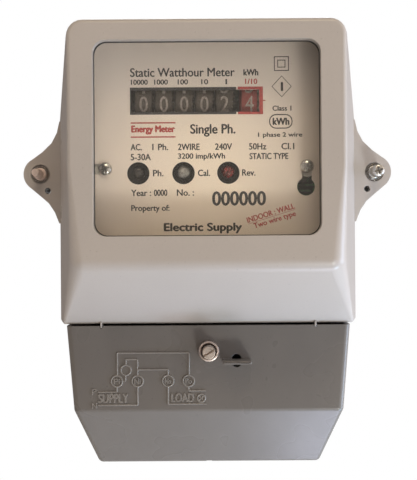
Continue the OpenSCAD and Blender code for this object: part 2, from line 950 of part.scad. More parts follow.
module drive_gear() {
    color(white_plastic)
        difference() {
            gear(gear_a_x0, gear_a_x1, drum_axis_depth, drum_axis_z, drive_big,
                180 / drive_big[0] + drive_angle);
            cross_rod(gear_a_x0 - eps, gear_a_x1 + eps, drum_axis_depth, drum_axis_z,
                drum_shaft_r + running_gap);
        }
}

// Transfer pinion between drum "index" and the drum to its right
module transfer_pinion(index) {
    x0 = drum_xs[index] + drum_w / 2 + pinion_gap;
    x1 = drum_xs[index - 1] - drum_w / 2 - pinion_gap;
    difference() {
        union() {
            gear(x0, x0 + ring_t - pinion_gap, pinion_axis_depth, pinion_axis_z,
                transfer_small, transfer_angle);
            // Every other tooth carries on across to the lower drum
            gear(x0, x1, pinion_axis_depth, pinion_axis_z,
                [4, transfer_small[1], transfer_small[2], transfer_small[3],
                    transfer_small[4], transfer_small[5]], transfer_angle);
        }
        cross_rod(x0 - eps, x1 + eps, pinion_axis_depth, pinion_axis_z,
            pinion_shaft_r + running_gap);
    }
}

module transfer_pinion_1() {
    color(white_plastic)
        transfer_pinion(1);
}

module transfer_pinion_2() {
    color(white_plastic)
        transfer_pinion(2);
}

module transfer_pinion_3() {
    color(white_plastic)
        transfer_pinion(3);
}

module transfer_pinion_4() {
    color(white_plastic)
        transfer_pinion(4);
}

module transfer_pinion_5() {
    color(white_plastic)
        transfer_pinion(5);
}

module idler_gear() {
    color(white_plastic)
        difference() {
            union() {
                gear(gear_a_x0 + 0.3, gear_b_x0 + eps, idler_depth, idler_z, drive_small,
                    drive_angle + 180);
                gear(gear_b_x0, gear_b_x1, idler_depth, idler_z, idler_big,
                    180 / idler_big[0] - 90);
            }
            cross_rod(gear_a_x0, gear_b_x1 + eps, idler_depth, idler_z,
                idler_axle_r + running_gap);
        }
}

module motor_pinion() {
    color(brass) {
        gear(gear_b_x0, gear_b_x1, idler_depth, motor_z, motor_small, 90);
        cross_rod(gear_b_x0 - 0.6, frame_right_x + frame_t + 3.8, idler_depth, motor_z,
            motor_shaft_r);
    }
}

// ---- Main cover ----------------------------------------------------------

// The cover's solid shape, drawn in by t on every side
module cover_shape(t) {
    edge_r = foot_edge_r - 0.4 * t;
    rim_y = -base_depth + rim_overrun + 0.3 * t;
    hull() {
        for (sx = [-1, 1]) {
            for (z = [split_z + t + edge_r, case_taper_z])
                translate([sx * (case_half_w + rim_flare - t - edge_r), rim_y, z])
                    rotate([90, 0, 0])
                        cylinder(r = edge_r, h = 0.1, $fn = hull_fn);
            translate([sx * (case_top_half_w + rim_flare - case_corner_r), rim_y,
                case_top_z + rim_flare - case_corner_r])
                rotate([90, 0, 0])
                    cylinder(r = case_corner_r - t, h = 0.1, $fn = hull_fn);
            translate([sx * (front_half_w - front_edge_r), -front_depth + front_edge_r,
                front_taper_z])
                sphere(front_edge_r - t, $fn = hull_fn);
            translate([sx * (front_half_w - slope_blend_r), -front_depth + slope_blend_r,
                slope_start_z])
                sphere(slope_blend_r - t, $fn = hull_fn);
            for (a = [0:30:90])
                translate([
                    sx * (front_top_half_w - front_corner_r + front_corner_step * cos(a)),
                    -front_depth + front_edge_r,
                    front_top_z - front_corner_r + front_corner_step * sin(a)])
                    sphere(front_edge_r - t, $fn = hull_fn);
            translate([
                sx * (case_half_w - side_draft * slope_foot_rise - foot_edge_r - 0.6 * t),
                -base_depth - slope_foot_rise + foot_edge_r + 0.2 * t,
                split_z + foot_edge_r + 0.6 * t])
                sphere(edge_r, $fn = hull_fn);
        }
    }
}

module main_cover() {
    color(case_grey)
        difference() {
            union() {
                difference() {
                    union() {
                        cover_shape(0);
                        slab(base_depth, base_depth + ear_t)
                            ear_pair(0);
                    }
                    cover_shape(cover_wall);
                    block(-clear_w, clear_w, 0, base_depth, clear_z0, clear_z1);
                }
                // Collar round the window, on the inside
                slab(gasket_depth, front_depth - 1)
                    round_rect(window_w + 2 * rim_collar_w, window_h + 2 * rim_collar_w,
                        window_corner_r + rim_collar_w, window_z);
                for (sx = [-1, 1], z = clip_boss_zs)
                    out_rod(sx * clip_boss_x, z, clip_depth - clip_t - 0.6,
                        front_depth - 1, clip_boss_r);
                // Nibs that sit in the terminal cover's notches
                for (sx = [-1, 1])
                    block(sx * nib_x - nib_w / 2, sx * nib_x + nib_w / 2, base_depth + 8,
                        base_depth + slope_foot_rise - 0.4, split_z - 1.4, split_z + 1);
            }
            slab(gasket_depth - eps, front_depth + 1)
                round_rect(window_w, window_h, window_corner_r, window_z);
            for (sx = [-1, 1]) {
                out_rod(sx * ear_x, ear_z, base_depth - eps, base_depth + ear_t + eps,
                    ear_hole_r);
                out_rod(sx * ear_x, ear_z, base_depth + ear_t - washer_recess,
                    base_depth + ear_t + eps, washer_recess_r);
                out_rod(sx * seal_hole_x, seal_hole_z, base_depth - eps,
                    base_depth + ear_t + eps, seal_hole_r);
            }
        }
}

module window_glass() {
    color([0.85, 0.9, 0.9, 0.3])
        slab(clip_depth, glass_depth)
            round_rect(window_w + 2 * glass_margin, window_h + 2 * glass_margin,
                window_corner_r + glass_margin, window_z);
}

module window_gasket() {
    color(black_plastic)
        difference() {
            slab(glass_depth, gasket_depth)
                round_rect(window_w + 2 * glass_margin, window_h + 2 * glass_margin,
                    window_corner_r + glass_margin, window_z);
            slab(glass_depth - eps, gasket_depth + eps)
                round_rect(window_w - 2 * gasket_lip, window_h - 2 * gasket_lip,
                    window_corner_r, window_z);
        }
}

module glass_clips() {
    color(steel)
        for (sx = [-1, 1], z = clip_boss_zs)
            difference() {
                block(sx * 45 - 2.4, sx * 45 + 2.4, clip_depth - clip_t, clip_depth,
                    z - 5, z + 5);
                out_rod(sx * clip_boss_x, z, clip_depth - clip_t - eps, clip_depth + eps,
                    clip_boss_r + running_gap);
            }
}

module ear_washers() {
    color(steel)
        for (sx = [-1, 1])
            difference() {
                out_rod(sx * ear_x, ear_z, base_depth + ear_t - washer_recess,
                    base_depth + ear_t - washer_recess + washer_t, washer_r);
                out_rod(sx * ear_x, ear_z, base_depth, base_depth + ear_t + eps,
                    ear_shank_r + 0.3);
            }
}

// Tall sealing screw: shank, collar and a head drilled across for the sealing wire
module ear_screw(sx, head_r, head_len) {
    collar = base_depth + ear_t - washer_recess + washer_t;
    out_rod(sx * ear_x, ear_z, ear_boss_depth + 2.5, collar + eps, ear_shank_r);
    out_rod(sx * ear_x, ear_z, collar, collar + 1.4, 2.6);
    difference() {
        out_rod(sx * ear_x, ear_z, collar + 1.3, collar + head_len, head_r);
        translate([sx * ear_x - 4, -(collar + head_len - 3.4), ear_z])
            rotate([0, 90, 0])
                cylinder(r = 0.6, h = 8);
        if (sx > 0) {
            block(ear_x - 1.7, ear_x + 1.7, collar + head_len - 1.2, collar + head_len + 1,
                ear_z - 0.4, ear_z + 0.4);
            block(ear_x - 0.4, ear_x + 0.4, collar + head_len - 1.2, collar + head_len + 1,
                ear_z - 1.7, ear_z + 1.7);
        }
    }
}

module ear_screw_left() {
    color([0.7, 0.5, 0.42])
        ear_screw(-1, 1.75, 12);
}

module ear_screw_right() {
    color(steel)
        ear_screw(1, 2.5, 11);
}

// ---- Terminal cover ------------------------------------------------------

// The terminal cover's solid shape, drawn in by t on every side
module lid_shape(t) {
    r = term_edge_r - t;
    front = -term_front_depth + term_edge_r;
    hull() {
        for (sx = [-1, 1]) {
            for (p = [[term_top_half_w - term_edge_r, split_z + 5],
                [term_mid_half_w - term_edge_r, term_mid_z],
                [term_low_half_w - term_edge_r, term_low_z + term_edge_r]])
                translate([sx * p[0], -term_base_depth + t / 2, p[1]])
                    rotate([90, 0, 0])
                        cylinder(r = r, h = 0.1, $fn = hull_fn);
            translate([sx * (term_top_half_w - term_edge_r), front, split_z + 5])
                sphere(r, $fn = hull_fn);
            translate([sx * (term_mid_half_w - term_edge_r), front, term_mid_z])
                sphere(r, $fn = hull_fn);
            translate([sx * (term_low_half_w - term_edge_r), -term_low_depth,
                term_low_z + term_edge_r])
                sphere(r, $fn = hull_fn);
        }
    }
}

// Raised wiring diagram: straight traces as [x0, z0, x1, z1]
traces = [
    [-36.3, -46.0, -7.1, -46.0], [-36.3, -55.4, -36.3, -46.0], [-7.1, -55.4, -7.1, -46.0],
    [-32.8, -48.6, -28.1, -48.6], [-32.8, -51.0, -32.8, -48.6], [-28.1, -55.4, -28.1, -48.6],
    [-28.1, -52.8, -15.7, -52.8], [-15.7, -55.4, -15.7, -52.8],
    [-33.0, -57.4, -33.0, -55.0], [-34.4, -57.4, -33.0, -57.4],
    [-44.2, -61.9, -36.5, -61.9], [-36.5, -61.9, -36.5, -59.6],
    [-44.2, -67.2, -28.1, -67.2], [-28.1, -67.2, -28.1, -59.6],
    [-15.7, -66.9, -15.7, -59.6], [-15.7, -66.9, -0.3, -66.9],
    [-7.3, -61.5, -7.3, -59.6], [-7.3, -61.5, -0.3, -61.5],
];
// Raised circles as [x, z, radius]
loops = [
    [-36.5, -57.5, 2.25], [-28.1, -57.5, 2.25], [-15.7, -57.5, 2.25], [-7.3, -57.5, 2.25],
    [-32.8, -53.0, 2.05], [-2.2, -64.6, 1.6],
];

module wiring_diagram() {
    for (t = traces)
        block(min(t[0], t[2]) - trace_w / 2, max(t[0], t[2]) + trace_w / 2,
            term_front_depth - 0.3, term_front_depth + trace_h,
            min(t[1], t[3]) - trace_w / 2, max(t[1], t[3]) + trace_w / 2);
    for (c = loops)
        difference() {
            out_rod(c[0], c[1], term_front_depth - 0.3, term_front_depth + trace_h,
                c[2] + trace_w / 2);
            out_rod(c[0], c[1], term_front_depth - 1, term_front_depth + 1,
                c[2] - trace_w / 2);
        }
}

module terminal_cover() {
    color(lid_grey)
        difference() {
            union() {
                difference() {
                    lid_shape(0);
                    lid_shape(term_wall);
                    block(-70, 70, 0, 60, split_z - cover_gap, split_z + 20);
                }
                block(tab_x - tab_w / 2, tab_x + tab_w / 2, term_front_depth - 1,
                    term_front_depth + tab_reach, tab_z - tab_t / 2, tab_z + tab_t / 2);
                wiring_diagram();
                // Boss behind the screw's ferrule
                out_rod(lid_screw_x, lid_screw_z, term_front_depth - 4,
                    term_front_depth - 1, ferrule_r + 1.6);
            }
            up_rod(tab_x, term_front_depth + 0.7, tab_z - 3.4, tab_z + 3, tab_hole_r);
            for (sx = [-1, 1])
                block(sx * nib_x - nib_w, sx * nib_x + nib_w, term_front_depth - 4,
                    term_front_depth + 1, split_z - cover_gap - 1.2, split_z);
            out_rod(lid_screw_x, lid_screw_z, term_front_depth - 5, term_front_depth + 1,
                ferrule_r);
            // Small notch in the middle of the bottom edge
            block(-1.2, 1.2, term_base_depth - 1, term_base_depth + 8, term_low_z - 1,
                term_low_z + 0.4);
        }
}

module terminal_cover_ferrule() {
    color(brass)
        difference() {
            union() {
                out_rod(lid_screw_x, lid_screw_z, term_front_depth - 4,
                    term_front_depth + 3, ferrule_r);
            }
            out_rod(lid_screw_x, lid_screw_z, term_front_depth - 2.4,
                term_front_depth + 4, ferrule_r - 1);
            out_rod(lid_screw_x, lid_screw_z, term_front_depth - 5,
                term_front_depth, lid_shank_r + 0.2);
        }
}

module terminal_cover_screw() {
    head_back = term_front_depth - 2.4;
    head_front = term_front_depth + 8.5;
    color(brass)
        difference() {
            union() {
                out_rod(lid_screw_x, lid_screw_z, 24, head_back + eps, lid_shank_r);
                out_rod(lid_screw_x, lid_screw_z, head_back, head_front, lid_head_r);
            }
            translate([lid_screw_x, -head_front, lid_screw_z])
                rotate([0, -30, 0])
                    cube([8, 2.6, 0.8], center = true);
            translate([lid_screw_x, -head_front + 3.2, lid_screw_z])
                rotate([0, 60, 0])
                    translate([0, 0, -4])
                        cylinder(r = 0.6, h = 8);
        }
}

module screw_ring() {
    color(steel)
        difference() {
            out_rod(lid_screw_x, lid_screw_z, term_front_depth - 5.2,
                term_front_depth - 4.3, 3);
            out_rod(lid_screw_x, lid_screw_z, term_front_depth - 6, term_front_depth - 4,
                lid_shank_r);
        }
}

// ---- Choice of node ------------------------------------------------------

base_housing();
hanger_plate();
ear_inserts();
cover_gasket();
terminal_block();
block_screws();
screw_insert();
terminal_phase_in();
terminal_neutral_in();
terminal_neutral_out();
terminal_phase_out();
terminal_screws();
current_shunt();
neutral_link();
sense_pins();
inner_chassis();
chassis_screws();
circuit_board();
metering_chip();
film_capacitor();
electrolytic_capacitors();
surge_varistor();
lamp_holder();
phase_lamp();
calibration_lamp();
reverse_lamp();
dial_plate();
dial_plate_screws();
register_frame();
drum_shaft();
pinion_shaft();
idler_axle();
stepper_motor();
drum_tenths();
drum_units();
drum_tens();
drum_hundreds();
drum_thousands();
drum_ten_thousands();
drive_gear();
transfer_pinion_1();
transfer_pinion_2();
transfer_pinion_3();
transfer_pinion_4();
transfer_pinion_5();
idler_gear();
motor_pinion();
main_cover();
window_glass();
window_gasket();
glass_clips();
ear_washers();
ear_screw_left();
ear_screw_right();
terminal_cover();
terminal_cover_ferrule();
terminal_cover_screw();
screw_ring();
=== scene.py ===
"""Analog dial electric meter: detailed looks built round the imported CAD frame."""
import bpy
import bmesh
import math
from mathutils import Matrix, Vector


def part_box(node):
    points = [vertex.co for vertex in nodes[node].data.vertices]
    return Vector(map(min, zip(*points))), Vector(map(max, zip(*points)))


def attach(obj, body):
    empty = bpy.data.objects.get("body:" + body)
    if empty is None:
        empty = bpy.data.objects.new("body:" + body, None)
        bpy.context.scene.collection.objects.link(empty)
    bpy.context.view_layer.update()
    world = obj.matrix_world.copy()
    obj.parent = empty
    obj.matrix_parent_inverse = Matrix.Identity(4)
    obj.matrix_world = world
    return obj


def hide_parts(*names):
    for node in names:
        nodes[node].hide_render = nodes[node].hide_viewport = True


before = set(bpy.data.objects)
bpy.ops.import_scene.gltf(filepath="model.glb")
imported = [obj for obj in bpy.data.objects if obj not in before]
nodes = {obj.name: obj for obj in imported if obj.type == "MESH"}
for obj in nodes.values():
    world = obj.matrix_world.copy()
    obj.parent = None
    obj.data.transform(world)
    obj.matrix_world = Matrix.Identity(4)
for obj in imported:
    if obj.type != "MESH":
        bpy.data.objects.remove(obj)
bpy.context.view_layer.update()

# ---- The frame: positions are stated in mm from the wall plane, along the window's middle ----

glass_lo, glass_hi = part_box("window_glass")
wall_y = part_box("base_housing")[1].y
MM = 0.001
WINDOW_Z = 37.6
ORIGIN = Vector(((glass_lo.x + glass_hi.x) / 2, wall_y, (glass_lo.z + glass_hi.z) / 2 - WINDOW_Z * MM))


def at(x, depth, z):
    return ORIGIN + Vector((x, -depth, z)) * MM


# ---- Camera ----

CAMERA_DISTANCE = 428
CAMERA_ROLL = 0.4

cam = bpy.data.objects.new("camera", bpy.data.cameras.new("camera"))
bpy.context.scene.collection.objects.link(cam)
cam.data.sensor_width = 36
cam.data.lens = 70.8
cam.data.clip_start = 0.01
cam.location = at(0.3, CAMERA_DISTANCE, 0)
level_view = Matrix.Rotation(math.radians(90), 3, "X")
cam.rotation_euler = (Matrix.Rotation(math.radians(CAMERA_ROLL), 3, "Y") @ level_view).to_euler()
bpy.context.scene.camera = cam
bpy.context.scene.view_settings.view_transform = "Standard"
bpy.context.scene.view_settings.look = "None"

# ---- Materials ----

materials = {}


class Shade:
    """A node material with a Principled shader, patterned in object space."""

    def __init__(self, name, **values):
        self.material = bpy.data.materials.new(name)
        self.material.use_nodes = True
        self.tree = self.material.node_tree
        self.shader = self.tree.nodes["Principled BSDF"]
        self.coords = self.add("ShaderNodeTexCoord").outputs["Object"]
        for key, value in values.items():
            self.shader.inputs[key.replace("_", " ")].default_value = value
        self.material.diffuse_color = (*values.get("Base_Color", (0.5, 0.5, 0.5, 1))[:3], 1)
        materials[name] = self.material

    def add(self, kind, **values):
        node = self.tree.nodes.new(kind)
        for key, value in values.items():
            setattr(node, key, value)
        return node

    def link(self, a, b):
        self.tree.links.new(a, b)

    def noise(self, scale, detail=3, rough=0.55, stretch=(1, 1, 1), distortion=0.0):
        mapping = self.add("ShaderNodeMapping")
        mapping.inputs["Scale"].default_value = stretch
        self.link(self.coords, mapping.inputs["Vector"])
        node = self.add("ShaderNodeTexNoise")
        node.inputs["Scale"].default_value = scale
        node.inputs["Detail"].default_value = detail
        node.inputs["Roughness"].default_value = rough
        node.inputs["Distortion"].default_value = distortion
        self.link(mapping.outputs["Vector"], node.inputs["Vector"])
        return node.outputs["Fac"]

    def fit(self, value, a0, a1, b0, b1):
        node = self.add("ShaderNodeMapRange")
        node.inputs["From Min"].default_value = a0
        node.inputs["From Max"].default_value = a1
        node.inputs["To Min"].default_value = b0
        node.inputs["To Max"].default_value = b1
        self.link(value, node.inputs["Value"])
        return node.outputs["Result"]

    def mix(self, factor, a, b):
        node = self.add("ShaderNodeMix", data_type="RGBA")
        self.link(factor, node.inputs["Factor"])
        for socket, value in ((node.inputs[6], a), (node.inputs[7], b)):
            if hasattr(value, "is_linked"):
                self.link(value, socket)
            else:
                socket.default_value = (*value, 1)
        return node.outputs[2]

    def math(self, operation, a, b=None):
        node = self.add("ShaderNodeMath", operation=operation)
        for socket, value in zip(node.inputs, (a, b)):
            if value is None:
                continue
            if hasattr(value, "is_linked"):
                self.link(value, socket)
            else:
                socket.default_value = value
        return node.outputs[0]

    def rounding(self, radius):
        node = self.add("ShaderNodeBevel", samples=5)
        node.inputs["Radius"].default_value = radius * MM
        return node.outputs["Normal"]

    def edge_mask(self, rounded):
        """1 on rounded edges, 0 on the flats."""
        plain = self.add("ShaderNodeNewGeometry").outputs["Normal"]
        dot = self.add("ShaderNodeVectorMath", operation="DOT_PRODUCT")
        self.link(rounded, dot.inputs[0])
        self.link(plain, dot.inputs[1])
        return self.fit(dot.outputs["Value"], 0.995, 0.85, 0, 1)

    def bump(self, height, strength, distance, normal=None):
        node = self.add("ShaderNodeBump")
        node.inputs["Strength"].default_value = strength
        node.inputs["Distance"].default_value = distance * MM
        self.link(height, node.inputs["Height"])
        if normal is not None:
            self.link(normal, node.inputs["Normal"])
        return node.outputs["Normal"]

    def colour(self, output):
        self.link(output, self.shader.inputs["Base Color"])

    def rough(self, output):
        self.link(output, self.shader.inputs["Roughness"])

    def normal(self, output):
        self.link(output, self.shader.inputs["Normal"])


def scaled(colour, k):
    return tuple(min(1.0, c * k) for c in colour)


def plastic(name, colour, rough, grain=0.02, edge=0.3, shift=0.07, specks=0.0, grime=None, edge_wear_and_highlight=1.12):
    """Moulded plastic: cloudy colour, fine moulding grain, dust specks, and paler rounded edges, partly
    rubbed and partly a painted highlight.
    """
    s = Shade(name, Base_Color=(*colour, 1), IOR=1.47)
    cloud = s.math("MULTIPLY", s.math("ADD", s.noise(30, 2), s.noise(1300, 2)), 0.5)
    base = s.mix(s.fit(cloud, 0.3, 0.7, 0, 1), scaled(colour, 1 - shift), scaled(colour, 1 + shift))
    if grime:
        streak = s.fit(s.noise(55, 3, 0.5, (1, 1, 0.3), 0.4), 0.3, 0.85, 0, 0.35)
        base = s.mix(streak, base, grime)
    if specks:
        dots = s.fit(s.noise(1150, 1, 0.4), 0.72, 0.80, 0, specks)
        base = s.mix(dots, base, scaled(colour, 0.45))
    rounded = s.rounding(edge)
    # Paler rounded edges: partly rubbed, partly a painted highlight along the edges
    worn_and_highlit_edges = s.math("MULTIPLY", s.edge_mask(rounded), s.fit(s.noise(260, 3), 0.35, 0.6, 0.15, 0.7))
    base = s.mix(worn_and_highlit_edges, base, scaled(colour, edge_wear_and_highlight))
    s.colour(base)
    s.rough(s.fit(s.noise(45, 2), 0.25, 0.75, rough - 0.03, rough + 0.04))
    s.normal(s.bump(s.noise(2600, 2), 0.35, grain, rounded))
    return s


def metal(name, colour, rough, tarnish=0.8, edge=0.12, scratch=(1, 1, 1), dull=None):
    """Bare or plated metal: uneven tarnish, fine scratches, soft edges."""
    s = Shade(name, Base_Color=(*colour, 1), Metallic=1.0)
    stain = s.fit(s.noise(420, 5, 0.6), 0.38, 0.68, 0, 1)
    s.colour(s.mix(stain, colour, dull or scaled(colour, tarnish)))
    s.rough(s.fit(s.noise(700, 4), 0.3, 0.7, rough - 0.08, rough + 0.12))
    lines = s.noise(1500, 2, 0.5, scratch)
    s.normal(s.bump(lines, 0.25, 0.015, s.rounding(edge)))


plastic("case_paint", (0.50, 0.468, 0.445), 0.30, grain=0.012, edge=0.45, shift=0.025, specks=0.25,
        edge_wear_and_highlight=1.06)
plastic("base_plastic", (0.46, 0.43, 0.405), 0.5, grain=0.03, edge=0.3, shift=0.05, specks=0.3)
plastic("lid_plastic", (0.175, 0.163, 0.154), 0.28, grain=0.02, edge=0.4, shift=0.025, specks=0.35,
        grime=(0.235, 0.22, 0.205), edge_wear_and_highlight=1.5)
# The raised diagram is a paler copy of the lid's plastic: painted light on its ridges
plastic("lid_ridges", (0.247, 0.23, 0.213), 0.25, grain=0.01, edge=0.1, shift=0.1, specks=0.3, edge_wear_and_highlight=1.2)
plastic("black_plastic", (0.021, 0.020, 0.019), 0.42, grain=0.02, edge=0.2, shift=0.15, edge_wear_and_highlight=2.2)
plastic("white_plastic", (0.66, 0.63, 0.57), 0.4, grain=0.01, edge=0.15, shift=0.05)
plastic("red_plastic", (0.25, 0.045, 0.038), 0.4, grain=0.01, edge=0.15, shift=0.08)
plastic("seal_rubber", (0.045, 0.042, 0.040), 0.7, grain=0.03, edge=0.1, shift=0.2, edge_wear_and_highlight=1.6)
plastic("film_yellow", (0.62, 0.40, 0.06), 0.3, grain=0.01, edge=0.4, shift=0.08)
plastic("can_blue", (0.03, 0.055, 0.16), 0.35, grain=0.01, edge=0.25, shift=0.12)
plastic("disc_blue", (0.05, 0.13, 0.34), 0.3, grain=0.02, edge=0.4, shift=0.1)
plastic("drum_black", (0.072, 0.055, 0.043), 0.45, grain=0.012, edge=0.12, shift=0.18, specks=0.2, edge_wear_and_highlight=1.3)
plastic("holder_black", (0.045, 0.036, 0.030), 0.5, grain=0.02, edge=0.2, shift=0.15, specks=0.4, edge_wear_and_highlight=1.5)
metal("zinc_steel", (0.62, 0.60, 0.56), 0.30, 0.72)
metal("bright_steel", (0.80, 0.78, 0.75), 0.20, 0.6, edge=0.06)
metal("bright_nickel", (0.78, 0.69, 0.64), 0.38, 0.7, edge=0.06)
metal("pale_nickel", (0.74, 0.655, 0.58), 0.5, 0.75, edge=0.06)
metal("copper_steel", (0.92, 0.79, 0.73), 0.55, dull=(0.74, 0.62, 0.56))
metal("terminal_brass", (0.60, 0.44, 0.20), 0.32, dull=(0.33, 0.23, 0.12))
metal("nickel_brass", (0.60, 0.52, 0.42), 0.26, dull=(0.34, 0.27, 0.20))

# Painted light: the plate is paler round a point below its middle and darker towards its edges, a painted
# shade of the window's rim
PLATE_MIDDLE = (0, 66, 22)
PLATE_SHADE_FADE = (25, 0, 22)  # how fast it darkens across and up, per metre
plate = plastic("plate_print", (0.76, 0.665, 0.60), 0.5, grain=0.008, edge=0.08, shift=0.02, specks=0.12,
                edge_wear_and_highlight=1.0)
spread = plate.add("ShaderNodeVectorMath", operation="SUBTRACT")
spread.inputs[1].default_value = at(*PLATE_MIDDLE)
plate.link(plate.coords, spread.inputs[0])
reach = plate.add("ShaderNodeVectorMath", operation="MULTIPLY")
reach.inputs[1].default_value = PLATE_SHADE_FADE
plate.link(spread.outputs["Vector"], reach.inputs[0])
away = plate.add("ShaderNodeVectorMath", operation="LENGTH")
plate.link(reach.outputs["Vector"], away.inputs[0])
# The plate's own colour stays at its edges as painted shade; towards the middle it is painted paler, as
# painted light
rim_shaded_colour = plate.shader.inputs["Base Color"].links[0].from_socket
plate.colour(plate.mix(plate.fit(away.outputs["Value"], 0.2, 1.0, 1, 0), rim_shaded_colour, (0.98, 0.85, 0.72)))

# The board's tracks and pads lie on a square grid, each square with a random choice of its own
GRID_PER_METRE = 420
TRACK_HALF_W = 0.12  # of a grid square
board = Shade("board_green", Base_Color=(0.03, 0.13, 0.05, 1), Roughness=0.35)
grid = board.add("ShaderNodeVectorMath", operation="MULTIPLY")
grid.inputs[1].default_value = (GRID_PER_METRE, 0, GRID_PER_METRE)
board.link(board.coords, grid.inputs[0])
square = board.add("ShaderNodeVectorMath", operation="FLOOR")
board.link(grid.outputs["Vector"], square.inputs[0])
pick = board.add("ShaderNodeTexWhiteNoise")
board.link(square.outputs["Vector"], pick.inputs["Vector"])
within = board.add("ShaderNodeVectorMath", operation="FRACTION")
board.link(grid.outputs["Vector"], within.inputs[0])
part = board.add("ShaderNodeSeparateXYZ")
board.link(within.outputs["Vector"], part.inputs[0])
across, along = [board.math("ABSOLUTE", board.math("SUBTRACT", part.outputs[axis], 0.5)) for axis in "XZ"]
chance = pick.outputs["Value"]
upright = board.math("MULTIPLY", board.math("LESS_THAN", across, TRACK_HALF_W),
                     board.math("LESS_THAN", chance, 0.45))
level = board.math("MULTIPLY", board.math("LESS_THAN", along, TRACK_HALF_W),
                   board.math("GREATER_THAN", chance, 0.55))
from_middle = board.math("ADD", board.math("MULTIPLY", across, across), board.math("MULTIPLY", along, along))
pad = board.math("MULTIPLY", board.math("LESS_THAN", from_middle, 0.06),
                 board.math("GREATER_THAN", chance, 0.7))
track = board.math("MAXIMUM", board.math("MAXIMUM", upright, level), pad)
board.colour(board.mix(track, (0.022, 0.10, 0.042), (0.06, 0.22, 0.08)))
board.normal(board.bump(track, 0.4, 0.05, board.rounding(0.1)))


def lens(name, colour, glow):
    """Moulded lamp body: clear resin over a small bright chip."""
    s = Shade(name, Base_Color=(*colour, 1), IOR=1.5, Transmission_Weight=0.55, Coat_Weight=0.6)
    s.colour(s.mix(s.fit(s.noise(900, 2), 0.4, 0.65, 0, 1), colour, glow))
    s.rough(s.fit(s.noise(300, 2), 0.3, 0.7, 0.06, 0.2))
    s.normal(s.bump(s.noise(1200, 2), 0.2, 0.02))


lens("lamp_red", (0.16, 0.06, 0.05), (0.62, 0.07, 0.07))
lens("lamp_dark", (0.045, 0.038, 0.034), (0.07, 0.055, 0.05))
lens("lamp_clear", (0.52, 0.49, 0.45), (0.82, 0.79, 0.75))

glass = Shade("clear_glass", Base_Color=(0.96, 0.97, 0.955, 1), IOR=1.46, Transmission_Weight=0.975)
glass.rough(glass.fit(glass.noise(90, 4), 0.45, 0.75, 0.0, 0.05))
# Shadow rays pass straight through the glass, so that the plate behind it is lit
shadow_ray = glass.add("ShaderNodeLightPath").outputs["Is Shadow Ray"]
passing = glass.add("ShaderNodeBsdfTransparent")
passing.inputs["Color"].default_value = (0.93, 0.92, 0.90, 1)
pane = glass.add("ShaderNodeMixShader")
glass.link(shadow_ray, pane.inputs[0])
glass.link(glass.shader.outputs[0], pane.inputs[1])
glass.link(passing.outputs[0], pane.inputs[2])
glass.link(pane.outputs[0], glass.tree.nodes["Material Output"].inputs["Surface"])


def ink(name, colour):
    s = Shade(name, Base_Color=(*colour, 1))
    s.colour(s.mix(s.fit(s.noise(1800, 3), 0.35, 0.75, 0, 1), colour, scaled(colour, 2.2)))
    s.rough(s.fit(s.noise(500, 3), 0.3, 0.7, 0.45, 0.6))
    s.normal(s.bump(s.noise(2500, 2), 0.2, 0.01))


ink("ink_black", (0.030, 0.026, 0.026))
ink("ink_red", (0.31, 0.045, 0.04))
ink("ink_white", (0.23, 0.195, 0.175))

# Every CAD node takes the material of its own slot, apart from those given another below
record_slots = {}
for name, node in nodes.items():
    record_slots[name] = node.material_slots[0].material.name.split(".")[0]
    node.material_slots[0].material = materials[record_slots[name]]
BLACK_DRUMS = ["drum_" + place for place in ("units", "tens", "hundreds", "thousands", "ten_thousands")]
for name in BLACK_DRUMS + ["register_frame"]:
    nodes[name].material_slots[0].material = materials["drum_black"]
nodes["phase_lamp"].material_slots[0].material = materials["lamp_dark"]
nodes["lamp_holder"].material_slots[0].material = materials["holder_black"]

# ---- Mesh building ----

MERGE = 0.002  # mm: points closer than this are one


def make(name, bm):
    """An object from a bmesh, with its faces outward."""
    mesh = bpy.data.meshes.new(name)
    bmesh.ops.recalc_face_normals(bm, faces=bm.faces)
    bm.to_mesh(mesh)
    bm.free()
    obj = bpy.data.objects.new(name, mesh)
    bpy.context.scene.collection.objects.link(obj)
    return obj


def hull(name, points):
    """The tightest solid round some (x, depth, z) points."""
    bm = bmesh.new()
    for p in points:
        bm.verts.new(at(*p))
    bmesh.ops.convex_hull(bm, input=list(bm.verts), use_existing_faces=False)
    loose = [v for v in bm.verts if not v.link_faces]
    bmesh.ops.delete(bm, geom=loose, context="VERTS")
    return make(name, bm)


def ball(x, depth, z, r, n=28):
    """Points of a sphere, for a rounded corner of a hull."""
    points = []
    for i in range(n // 2 + 1):
        a = math.pi * i / (n // 2)
        ring_r = r * math.sin(a)
        count = 1 if ring_r < 1e-6 else n
        points += [(x + ring_r * math.cos(2 * math.pi * k / n), depth + r * math.cos(a),
                    z + ring_r * math.sin(2 * math.pi * k / n)) for k in range(count)]
    return points


def circle(x, z, r, n=32):
    return [(x + r * math.cos(2 * math.pi * k / n), z + r * math.sin(2 * math.pi * k / n)) for k in range(n)]


def disc(x, depth, z, r, n=28):
    """Points of a flat circle, for a straight edge of a hull."""
    return [(px, depth, pz) for px, pz in circle(x, z, r, n)]


def prism(name, outline, d0, d1):
    """A solid between two depths, over an (x, z) outline."""
    bm = bmesh.new()
    near = [bm.verts.new(at(x, d1, z)) for x, z in outline]
    far = [bm.verts.new(at(x, d0, z)) for x, z in outline]
    bm.faces.new(near)
    bm.faces.new(far[::-1])
    for i in range(len(outline)):
        j = (i + 1) % len(outline)
        bm.faces.new((near[j], near[i], far[i], far[j]))
    return make(name, bm)


def box(name, x0, x1, d0, d1, z0, z1):
    return prism(name, [(x0, z0), (x1, z0), (x1, z1), (x0, z1)], d0, d1)


